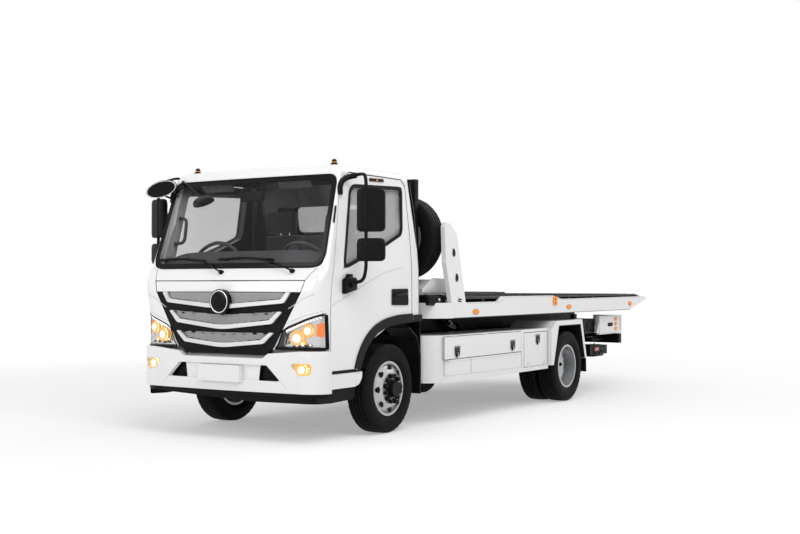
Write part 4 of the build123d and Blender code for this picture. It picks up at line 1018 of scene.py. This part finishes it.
# ---- roof lamps and air intake ------------------------------------------
for hand, side in SIDES:
    shape = Shape(f"roof_lamp_{hand}", outward=UPWARD)
    base = P(547, side * 752, 2281)
    shape.turned(((-6, 34), (2, 33.5), (6, 27), (10, 22), (24, 21)), base, "plastic", 28)
    shape.turned(((16, 22.5), (26, 22.5), (36, 18), (42, 10), (44.5, 2)), base, "gloss_black", 28)
    shape.turned(((11, 23.2), (12, 23.8), (17, 23.8), (18, 23.2)), base, "orange", 28)
    shape.done("cab", "black_plastic", replaces=("roof_lamps",))

shape = Shape("air_intake_grille", flat_side(890.5), sideways(1))
for k in range(11):
    z = 2010 + 19 * k
    shape.block(P(-512.5, 806, z), P(-509.5, 884, z + 8), "gloss_black", 1)
    shape.block(P(-572, 888, z), P(-516, 892.5, z + 8), "gloss_black", 1)
for z in (1020, 1320, 1620, 1920):
    shape.ribbon(((-578, z), (-510, z)), 14, "gloss_black", 2, 4)
shape.done("cab", "black_plastic")

# ---- cab interior -------------------------------------------------------
def cushion(name, low, high, crown, pads):
    """Crowned seat cushion with sewn channels across it, rounded like foam."""
    part = bmesh.new()
    bmesh.ops.create_cube(part, size=1.0)
    bmesh.ops.subdivide_edges(part, edges=part.edges[:], cuts=14, use_grid_fill=True)
    size, centre = Vector(high) - Vector(low), (Vector(high) + Vector(low)) / 2
    tall = size.z > size.x
    for v in part.verts:
        u = v.co * 2
        r = max(abs(u.x), abs(u.y), abs(u.z))
        ball = u.normalized() * r if u.length else u
        soft = u.lerp(ball, 0.16)
        p = P(soft.x * size.x, soft.y * size.y, soft.z * size.z) / 2
        along = u.z if tall else u.x
        groove = min(abs(math.sin(math.pi * (along + 1) / 2 * pads)) * 3.0, 1.0)
        rise = (1 - u.y ** 2) * crown * (0.55 + 0.45 * groove)
        if tall and u.x > 0.9:
            p.x += rise - crown
        if not tall and u.z > 0.9:
            p.z += rise - crown
        v.co = p + centre
    shape = Shape(name)
    return shape.merge(part, "cloth")


for hand, y in (("left", 430), ("right", -430)):
    base = cushion(f"seat_base_{hand}", P(-325, y - 235, 1030), P(175, y + 235, 1226), 22, 3)
    for x in (-328, 176):
        base.pipe((P(x * 0.97, y - 200, 1185), P(x * 0.97, y + 200, 1185)), 4, "cloth", 8)
    cover = base.done("cab", "seat_fabric", replaces=("seats",))
    back = cushion(f"seat_back_{hand}", P(-365, y - 225, 1236), P(-275, y + 225, 1748), 16, 5)
    back = back.done("cab", "seat_fabric", replaces=("seats",))
    rest = cushion(f"headrest_{hand}", P(-360, y * 1.09 - 160, 1764), P(-270, y * 1.09 + 160, 1966), 10, 1)
    for dy in (-50, 50):
        rest.rod(P(-320, y + dy, 1700), P(-320, y + dy, 1800), 6, "chrome")
    rest = rest.done("cab", "seat_fabric", replaces=("seats",))

shape = Shape("steering_wheel")
hub, lean = P(500, 440, 1482), P(-0.72, 0, 0.69).normalized()
across, up = P(0, 1, 0), lean.cross(P(0, 1, 0))
wheel_ring = [hub + across * 205 * math.cos(a) + up * 205 * math.sin(a) for a in turns(48)]
shape.pipe(wheel_ring, 15.5, "inner_grey", 12, closed=True)
for a in (0.15, math.pi - 0.15, -math.pi / 2):
    tip = hub + across * 200 * math.cos(a) + up * 200 * math.sin(a)
    shape.pipe((hub - lean * 30, hub + (tip - hub) * 0.5 - lean * 12, tip), 13, "plastic", 10, flat=0.6,
               bend=50)
shape.turned(((-50, 30), (-30, 68), (-6, 72), (4, 60), (8, 20)), hub, "plastic", 28, axis=lean)
shape.rod(hub - lean * 40, hub - lean * 260, 30, "plastic")
shape.done("cab", "black_plastic")


def rear_wall(y, z):
    """Inner face of the cab's rear wall."""
    return P(-370 - (2205 - z) * 0.1496, y, z)


shape = Shape("cab_fittings", rear_wall)
shape.block(P(610, -180, 1998), P(626, 65, 2072), "inner_grey", 10, 3)
shape.block(P(622, -186, 1992), P(640, 71, 2078), "plastic", 12, 3)
shape.rod(P(640, -50, 2060), P(680, -50, 2165), 8, "plastic")
for _, side in SIDES:
    shape.pipe((P(660, side * 890, 1872), P(670, side * 772, 1862), P(700, side * 772, 1650),
                P(705, side * 895, 1640)), 15, "inner_grey", bend=50)
    shape.ribbon(((side * 812, 2100), (side * 800, 1300)), 24, "cloth", 0, 2, on=flat_front(-300))
rear_pane = box(-370, 1756, 370, 2030, 80, 6)
shape.panel(rear_pane, "rear_film", 0, 3, 80, outward=FORWARD)
shape.ribbon(rear_pane, 36, "plastic", 2, 6, closed=True)
for low, high, left, right in ((1590, 1762, -585, 585), (2022, 2040, -585, 585), (1590, 2040, -585, -366),
                               (1590, 2040, 366, 585)):
    shape.panel(((left, low), (right, low), (right, high), (left, high)), "cloth", 1, 4, 80,
                outward=FORWARD)
for y in (-420, 420):
    visor = box(0, 0, 340, 140, 20, 3)
    shape.panel([(p.x + y - 170, p.y) for p in visor], "cloth", 6, 14, 50,
                on=lambda a, b: P(690 - b * 0.45, a, 2170 - b * 0.55),
                outward=lambda c: P(0.8, 0, -0.6))
pad = [[P(660 + dx, y, 1430 + dz * (1 - (y / 900) ** 8))
        for dx, dz in ((0, 0), (0, 90), (40, 135), (140, 130), (220, 30))]
       for y in [-880 + 40 * k for k in range(45)]]
shape.loft(pad, "inner_grey", closed=False, caps=False)
shape.pipe([P(740, y, 1562 + 78 * (1 - ((y + 340) / 210) ** 2))
            for y in [-550 + 60 * k for k in range(8)]], 16, "inner_grey", bend=30)
hood = [[P(600 + dx, y, 1430 + dz * (1 - ((y - 440) / 270) ** 2))
         for dx, dz in ((0, 0), (0, 70), (50, 110), (160, 90), (240, 20))]
        for y in [200 + 40 * k for k in range(13)]]
shape.loft(hood, "plastic", closed=False, caps=False)
shape.done("cab", "black_plastic")

# ---- tyres --------------------------------------------------------------
def tyre(shape, centre, side, across=(0, 1, 0)):
    """Tyre with ribs, sipes and moulded sidewall rings; the profile is (across, radius)."""
    half = [(79, RIM_SEAT), (79, 235.8), (86, 240), (93, 252), (94.5, 256), (99, 264),
            (104, 280), (106.2, 300), (105, 318), (106.2, 320), (105.6, 325), (103.5, 330),
            (101, 345), (101.5, 348), (98.5, 358)]
    crown = [(96.5, 364), (90, 375), (80, 380), (59, 381.2), (57, 370), (51, 370),
             (49, 382.2), (21.5, 383), (19.5, 371.2), (13.5, 371.2), (11.5, 383.2)]
    profile = half + crown + [(-a, r) for a, r in (half + crown)[::-1]]
    across = Vector(across)
    ahead = across.cross(P(0, 0, 1))
    rings = []
    for a, r in profile:
        loop = []
        for k, t in enumerate(turns(120)):
            shoulder = abs(a) > 85 and r > 345
            wave = 3.5 * math.sin(t * 40) if abs(a) < 65 and r > 360 else 0
            cut = 4.5 if shoulder and k % 3 == 0 else 0
            radius = r - cut
            loop.append(centre + across * side * (a + wave) + ahead * radius * math.sin(t)
                        + P(0, 0, radius * math.cos(t)))
        rings.append(loop)
    shape.loft(rings, "rubber", caps=False)
    inner = [[centre + across * side * a + ahead * RIM_SEAT * math.sin(t) + P(0, 0, RIM_SEAT * math.cos(t))
              for t in turns(120)] for a in (-79, 79)]
    shape.loft(inner, "rubber", caps=False)


def tyre_marks(shape, centre, side):
    """Short moulded bars round the sidewall's shoulder."""
    for t in turns(36):
        direction = P(math.sin(t), 0, math.cos(t))
        a, b = centre + direction * 331, centre + direction * 343
        shape.pipe((a + P(0, side * 102, 0), b + P(0, side * 100, 0)), 2.8, "rubber", 6)


for hand, side in SIDES:
    shape = Shape(f"tread_tyre_front_{hand}")
    centre = P(0, side * 851.5, TYRE_R)
    tyre(shape, centre, side)
    tyre_marks(shape, centre, side)
    shape.done("wheel_front_" + hand, "tyre", replaces=("tyre_front_" + hand,), sharp=30)
    shape = Shape(f"tread_tyres_rear_{hand}")
    for y in REAR_TYRES:
        tyre(shape, P(-WHEELBASE, side * y, TYRE_R), side)
    tyre_marks(shape, P(-WHEELBASE, side * REAR_TYRES[1], TYRE_R), side)
    shape.done("wheels_rear_" + hand, "tyre", replaces=("tyres_rear_" + hand,), sharp=30)
SPARE_CENTRE = P(-690, 660, 1708.5)
shape = Shape("spare_tread_tyre")
tyre(shape, SPARE_CENTRE, 1, across=(1, 0, 0))
shape.done("bed", "tyre", replaces=("spare_tyre",), sharp=30)

# ---- bed: side lamps, seams, fasteners and deck -------------------------
for hand, side in SIDES:
    outward = sideways(side)
    rail = flat_side(side * BODY_HALF)
    shape = Shape(f"bed_side_lamps_{hand}", rail, outward)
    for x, z, rx, rz in ((-1281, 1020, 60, 23), (-3444, 1032, 60, 23), (-5303, 1042, 60, 23)):
        base = ring(x, z, rx + 3, rz + 3)
        shape.panel(base, "seal", 1.5, 3, 30)
        loops = [[P(px, side * (1100.5 + d), pz) for px, pz in ring(x, z, rx * g, rz * g)]
                 for d, g in ((0, 1.0), (6, 1.0), (8.5, 0.93), (9.4, 0.7), (9.5, 0.3))]
        shape.loft(loops if side > 0 else [l[::-1] for l in loops], "orange")
    shape.prism(box(-3122, 1054, -3025, 1148, 8, 3), 9, "orange", 2)
    for z in (1080, 1120):
        shape.turned(((0, 10), (0.6, 10), (0.8, 4)), P(-3074, side * 1108.8, z), "seal", 16)
    shape.done("bed", "lamp_lens")

    shape = Shape(f"bed_seams_{hand}", rail, outward)
    rail_edge = ((-1090, 1102), (-1790, 1102), (-1900, 1150), (-3020, 1150), (-3250, 1112), (-5790, 1120))
    shape.seam(rail_edge, 4)
    shape.seam(((-860, 970), (-5290, 970)), 6, "seam")
    shape.seam(((-862, 1108), (-862, 972)), 3)
    for x, z in ((-972, 1134), (-962, 1116)):
        slot = rounded(((x - 34, z - 4), (x + 34, z + 6), (x + 34, z + 20), (x - 34, z + 10)), 6, 3)
        shape.panel(slot, "seal", 0.8, 3, 30)
    for x, z in ((-858, 1562), (-914, 1333)):
        hole = rounded(((x + 30, z - 12), (x + 30, z + 46), (x - 8, z + 52), (x - 34, z + 12),
                        (x - 26, z - 24), (x + 8, z - 36)), 22, 4)
        shape.panel(hole, "gloss_black", 1.2, 3, 30)
        shape.ribbon(hole, (4, 0), "soft_seam", 1.5, 3, closed=True)
        shape.turned(((0, 12), (4, 12), (5, 6)), P(x - 6, side * 1100.5, z + 4), "hub", 14)
    shape.done("bed", "white_paint")

    shape = Shape(f"rail_fasteners_{hand}")
    for k in range(9):
        x = -1250 - 520 * k
        shape.turned(((-2, 11), (3, 11), (4.5, 8), (5, 3)),
                     P(x, side * 1094.5, 1145 if -3000 < x < -1950 else 1099.5), "satin", 12,
                     axis=(0, side, 0))
    shape.done("bed", "rim_silver")

shape = Shape("deck_details", flat_top(1160), UPWARD)
for x in (-2600, -3200, -3800, -4400, -5000):
    shape.ribbon(((x, -1030), (x, 1030)), 10, "steel", 1.5, 3, gap=300)
for _, side in SIDES:
    for k in range(26):
        x = -2550 - 115 * k
        slot = box(x, side * 955, x - 60, side * 995, 12, 3)
        shape.panel(slot, "seal", 1.2, 3, 50)
        shape.ribbon(slot, (4, 2), "steel", 3, 4, closed=True)
for k in range(17):
    x = -2460 - 190 * k
    shape.ribbon(((x, -880), (x, 880)), 22, "deck", 4, 5, gap=400)
for k in range(11):
    x = -1120 - 105 * k
    z = 1195 + (x + 1070) / (-1190) * 8
    shape.ribbon(((x, -860), (x, 860)), 20, "deck", 3, 4, on=flat_top(z), gap=400)
shape.done("bed", "deck_plate")

# ---- winch, its guard loops and the cover -------------------------------
shape = Shape("winch_drum")
centre = P(-660, 0, 1146)
for _, side in SIDES:
    shape.turned(((0, 30), (4, 34.5), (18, 34.5), (22, 31), (100, 31), (104, 33.8), (130, 33.8)),
                 centre + P(0, side * 430, 0), "steel", axis=(0, side, 0))
    shape.turned(((0, 33.5), (14, 33.9), (18, 30), (22, 18)), centre + P(0, side * 936, 0),
                 "gloss_black", axis=(0, side, 0))
    shape.pipe([centre + P(dx, side * 800, dz)
                for dx, dz in ((-85, -30), (-85, 60), (-30, 85), (10, 60), (12, 35))], 11, "steel", bend=40)
for k in range(34):
    y = -400 + 24 * k
    shape.turned(((-10, 33.2), (-4, 36.2), (4, 36.2), (10, 33.2)), centre + P(0, y, 0), "satin", 24,
                 axis=(0, 1, 0))
shape.done("bed", "black_steel")

shape = Shape("winch_cover_trim", flat_top(1325), UPWARD)
for y in (-620, -310, 0, 310, 620):
    shape.ribbon(((-765, y), (-955, y)), 12, "grey", 3, 4)
for _, side in SIDES:
    cheek = rounded(((-566, 1200), (-572, 1240), (-748, 1337), (-1085, 1329), (-1085, 1200)), 10, 3)
    shape.prism(cheek, 6, "grey", 1, on=flat_side(side * 930), outward=sideways(side))
    shape.ribbon(((-748, 1335), (-1083, 1327)), 3, "soft_seam", 0, 6, on=flat_side(side * 938),
                 outward=sideways(side))
shape.done("bed", "grey_paint")

for hand, side in SIDES:
    shape = Shape(f"fairlead_{hand}")
    y = side * 1000
    shape.pipe([P(x, y, z) for x, z in ((-530, 1178), (-860, 1180), (-925, 1160), (-930, 1115),
                                        (-865, 1094), (-545, 1100))], 13.5, "gloss_black", 14, bend=40)
    shape.block(P(-830, y - 22, 1104), P(-540, y + 22, 1170), "plastic", 10, 3)
    shape.block(P(-835, y - 28, 1088), P(-765, y + 28, 1186), "gloss_black", 12, 3)
    shape.rod(P(-720, y - 30, 1140), P(-720, y + 30, 1140), 14, "satin", 12)
    shape.done("bed", "black_steel")

shape = Shape("spare_carrier")
centre = SPARE_CENTRE
shape.turned(((0, 40), (4, 46), (20, 46), (26, 34), (30, 12)), centre + P(30, 0, 0), "steel", 6,
             axis=(1, 0, 0))
for a in turns(6):
    shape.rod(centre + P(6, NUT_CIRCLE * math.cos(a), NUT_CIRCLE * math.sin(a)),
              centre + P(28, NUT_CIRCLE * math.cos(a), NUT_CIRCLE * math.sin(a)), 13, "steel", 6)
shape.done("bed", "black_steel")


# ---- skirts and tail: latches, seams, hinges, flaps, lamps, towing claws -
BOLT_HEAD = ((0, 14), (8, 13), (10, 6))
LATCHES = ((-916, 654, "box_door_long_"), (-2053, 664, "box_door_long_"), (-2636, 698, "box_door_rear_"))
for hand, side in SIDES:
    outward = sideways(side)
    wall = flat_side(side * BODY_HALF)
    for count, (x, z, body) in enumerate(LATCHES):
        shape = Shape(f"latch_{count + 1}_{hand}", wall, outward)
        shield = rounded(((x - 56, z + 60), (x + 56, z + 60), (x + 52, z - 26), (x, z - 62),
                          (x - 52, z - 26)), (8, 8, 20, 30, 20), 4)
        shape.panel(shield, "dark_chrome", 2.5, 3, 30)
        core = [Vector((x, z)) + (p - Vector((x, z))) * 0.76 for p in shield]
        shape.panel(core, "seal", 4, 2, 30)
        shape.ribbon(shield, (4, 0), "chrome", 4.2, 2, closed=True)
        for k in range(3):
            shape.ribbon(((x - 30, z + 36 - 20 * k), (x + 30, z + 36 - 20 * k)), 3, "dark_chrome", 5.6, 2)
        shape.pipe((P(x, side * 1104, z - 6), P(x, side * 1108, z - 18), P(x, side * 1108, z - 48)), 13,
                   "chrome", 12, flat=0.4, bend=20)
        shape.done(body + hand, "rod_chrome")

    shape = Shape(f"skirt_seams_{hand}", wall, outward)
    for x, low, high in ((-677, 450, 806), (-1186, 596, 440), (-2253, 440, 592), (-2310, 428, 790),
                         (-2883, 428, 790)):
        shape.seam(((x, low), (x, high)), 5, "seam")
    shape.seam(((-680, 594), (-2250, 594)), 7, "seam")
    shape.seam(((-680, 572), (-2250, 572)), 4)
    shape.seam(((-660, 450), (-2880, 428)), 4)
    shape.done("chassis", "white_paint")

    shape = Shape(f"rear_door_hinges_{hand}")
    for x in (-2420, -2800):
        shape.rod(P(x - 32, side * 1100.5, 434), P(x + 32, side * 1100.5, 434), 7, "satin")
        shape.block(P(x - 24, side * 1100, 436), P(x + 24, side * 1103.5, 476), "satin", 1)
    shape.done("box_door_rear_" + hand, "rim_silver")
    shape = Shape(f"long_door_hinges_{hand}")
    for x in (-850, -1465, -2080):
        shape.rod(P(x - 30, side * 1100.5, 799), P(x + 30, side * 1100.5, 799), 5, "white")
    shape.done("box_door_long_" + hand, "white_paint")

    # rear arch liner and flap
    shape = Shape(f"rear_flap_{hand}", flat_side(side * 1134), outward)
    shape.ribbon(((-2952, 425), (-3090, 830), (-3686, 830), (-3800, 452)), 8, "trim_grey", 0, 300)
    shape.ribbon(((-3846, 600), (-3870, 440), (-3876, 290)), 10, "plastic", 0, 420,
                 on=flat_side(side * 1120))
    shape.done("chassis", "black_plastic")

    shape = Shape(f"tail_lamp_{hand}", flat_side(side * 1000), outward)
    shape.ribbon(box(-5262, 690, -4568, 890, 20, 4), 6, "soft_seam", 1, 3, closed=True)
    for z in (738, 797, 856):
        shape.prism(box(-5114, z - 19, -5042, z + 19, 10, 4), 10, "orange", 3, on=flat_side(side * 999.5))
    for z, tone in ((742, "red"), (792, "orange"), (842, "red")):
        shape.prism(box(side * 700, z - 19, side * 930, z + 19, 12, 4), -12, tone, 3,
                    on=flat_front(-5269.5), outward=FORWARD)
    shape.ribbon(((-5225, 720), (-5225, 868)), 14, "red", 2, 3)
    slot = box(-4980, 770, -4820, 815, 20, 4)
    shape.panel(slot, "seal", 1, 3, 40)
    gusset = rounded(((-4565, 700), (-4480, 700), (-4565, 860)), 12, 3)
    shape.prism(gusset, 6, "white", 1, on=flat_side(side * 992))
    shape.done("chassis", "lamp_lens")

    shape = Shape(f"tail_bracket_{hand}", outward=outward)
    shape.block(P(-4566, side * 720, 700), P(-3960, side * 940, 872), "steel", 12, 3)
    shape.turned(((0, 60), (6, 58), (10, 40), (11, 0)), P(-4380, side * 940, 785), "trim_grey", 28)
    shape.block(P(-5187, side * 745 - 55, 590), P(-4800, side * 745 + 55, 634), "plastic", 14, 3)
    for x in (-4520, -4240, -4010):
        shape.turned(BOLT_HEAD, P(x, side * 940, 728), "hub", 6)
    shape.done("chassis", "black_steel")

    shape = Shape(f"towing_claw_{hand}", flat_side(side * 800), outward)
    y = side * 730
    shape.pipe([P(x, y + side * dy, z) for x, dy, z in ((-5100, 60, 520), (-4980, 75, 528),
                                                        (-4840, 75, 530), (-4760, 60, 524))], 18, "steel",
               bend=50)
    for x in (-5050, -4930):
        shape.block(P(x - 22, y - 45, 514), P(x + 22, y + 45, 538), "steel", 6)
        shape.rod(P(x, y, 524), P(x, y, 549), 12, "satin", 6)
    shape.turned(((0, 24), (4, 28), (30, 28), (34, 22)), P(-4745, y - 17, 520), "steel", 24, axis=(0, 1, 0))
    shape.block(P(-5190, side * 690, 392), P(-4860, side * 800, 512), "steel", 16, 3)
    shape.prism(rounded(((-5000, 470), (-4870, 462), (-4866, 508), (-4985, 508)), 12, 3), 12, "red", 2)
    for x, z in ((-5130, 450), (-5040, 430), (-4920, 440)):
        shape.turned(BOLT_HEAD, P(x, side * 800, z), "hub", 6)
    shape.done("underlift_bar", "black_steel")

# ---- wheel nuts, hub caps and hand holes --------------------------------
WASHER = ((0, 22.5), (3, 22.5), (4, 20))
for hand, side in SIDES:
    shape = Shape(f"front_wheel_details_{hand}", outward=sideways(side))
    centre = P(0, side * 966.5, TYRE_R)
    for k in range(6):
        a = math.radians(15 + 60 * k)
        spot = centre + P(NUT_CIRCLE * math.cos(a), 0, NUT_CIRCLE * math.sin(a))
        shape.turned(WASHER, spot, "hub", 20)
        shape.turned(((2, 20), (26, 19.5), (34, 15), (37, 4)), spot, "hub", 16)
    shape.turned(((50, 70), (50.5, 50), (52, 46), (53.5, 30), (53.8, 0)), centre, "hub", 36)
    for a in turns(8):
        spot = centre + P(HOLE_CIRCLE * math.cos(a), 0, HOLE_CIRCLE * math.sin(a))
        ring_points = [spot + P(21.5 * math.cos(t), -side * 16, 21.5 * math.sin(t))
                       for t in turns(20)]
        shape.pipe(ring_points, 2.2, "rim", 6, closed=True)
    for a in turns(8):
        spot = centre + P(HOLE_CIRCLE * math.cos(a), -side * 17, HOLE_CIRCLE * math.sin(a))
        shape.turned(((0, 27), (3, 26.5), (4, 20), (4.2, 0)), spot, "seal", 20)
    valve = centre + P(150 * math.cos(0.6), -side * 10, 150 * math.sin(0.6))
    shape.rod(valve, valve + P(6, side * 30, 4), 4, "chrome", 8)
    shape.done("wheel_front_" + hand, "hub_black")
    shape = Shape(f"rear_wheel_details_{hand}", outward=sideways(side))
    flange = side * 911.5
    for k in range(6):
        a = math.radians(15 + 60 * k)
        spot = P(-WHEELBASE + NUT_CIRCLE * math.cos(a), flange, TYRE_R + NUT_CIRCLE * math.sin(a))
        shape.turned(WASHER, spot, "hub", 20)
        shape.turned(((26, 16.5), (34, 13), (37, 4)), spot, "hub", 6)
    cap = P(-WHEELBASE, side * 979.5, TYRE_R)
    shape.turned(((-4, 60), (-1, 56), (0.5, 40), (0.8, 0)), cap, "hub", 36)
    shape.done("wheels_rear_" + hand, "hub_black")


# ---- camera, light and floor --------------------------------------------
camera = bpy.data.objects.new("photo_camera", bpy.data.cameras.new("photo_camera"))
bpy.context.scene.collection.objects.link(camera)
camera.location = (10.7665, 6.319, 1.278)
camera.rotation_euler = (math.radians(90.87), 0, math.radians(212.13 - 90))
camera.data.lens = 51.97
camera.data.sensor_width = 36.0
camera.data.clip_end = 500.0
bpy.context.scene.camera = camera
bpy.context.scene.view_settings.view_transform = "Standard"


def lamp(name, place, aim, size, power):
    data = bpy.data.lights.new(name, "AREA")
    data.shape, data.size, data.energy = "DISK", size, power
    obj = bpy.data.objects.new(name, data)
    bpy.context.scene.collection.objects.link(obj)
    obj.location = place
    obj.rotation_euler = (Vector(aim) - Vector(place)).to_track_quat("-Z", "Y").to_euler()


lamp("key_above", (6.0, 6.0, 9.0), (0.0, 0.0, 0.8), 7.0, 560.0)
lamp("fill_front", (11.0, -3.0, 4.5), (2.0, 0.0, 1.0), 6.0, 260.0)
lamp("back_above", (-8.0, 3.0, 8.0), (-1.0, 0.0, 1.0), 6.0, 300.0)


def seen_rays(n):
    """1 for rays that show the background: camera, glossy and transmission."""
    rays = n.add("LightPath").outputs
    seen = n.math("MAXIMUM", rays["Is Camera Ray"], rays["Is Glossy Ray"])
    return n.math("MAXIMUM", seen, rays["Is Transmission Ray"])


def blend(n, factor, first, second, output):
    """Mix two shaders by a factor and give the result to an output node."""
    mixer = n.add("MixShader")
    for socket, source in zip(mixer.inputs, (factor, first.outputs[0], second.outputs[0])):
        n.link(source, socket)
    n.link(mixer.outputs[0], n.tree.nodes[output].inputs["Surface"])


WORLD_LIGHT = 0.60
world = bpy.data.worlds.new("studio")
bpy.context.scene.world = world
n = Nodes(world)
light = n.tree.nodes["Background"]
light.inputs["Color"].default_value = (1, 1, 1, 1)
light.inputs["Strength"].default_value = WORLD_LIGHT
blend(n, seen_rays(n), light, n.add("Background", Color=(1, 1, 1, 1), Strength=1.0), "World Output")

floor_mat = bpy.data.materials.new("studio_floor")
n = Nodes(floor_mat)
n.shader.inputs["Base Color"].default_value = (0.90, 0.90, 0.90, 1)
n.shader.inputs["Roughness"].default_value = 0.9
n.shader.inputs["Specular IOR Level"].default_value = 0.1
reach = n.add("VectorMath", operation="LENGTH")
n.link(n.coords, reach.inputs[0])
fade = n.remap(reach.outputs["Value"], 0.34, 1.0, 4.0, 9.0)
shine = n.add("Emission", Strength=1.0)
blend(n, n.math("MULTIPLY", seen_rays(n), fade), n.shader, shine, "Material Output")
floor = bpy.data.meshes.new("floor")
floor.from_pydata([(-60, -60, 0), (60, -60, 0), (60, 60, 0), (-60, 60, 0)], [], [(0, 1, 2, 3)])
floor.materials.append(floor_mat)
floor = bpy.data.objects.new("floor", floor)
bpy.context.scene.collection.objects.link(floor)
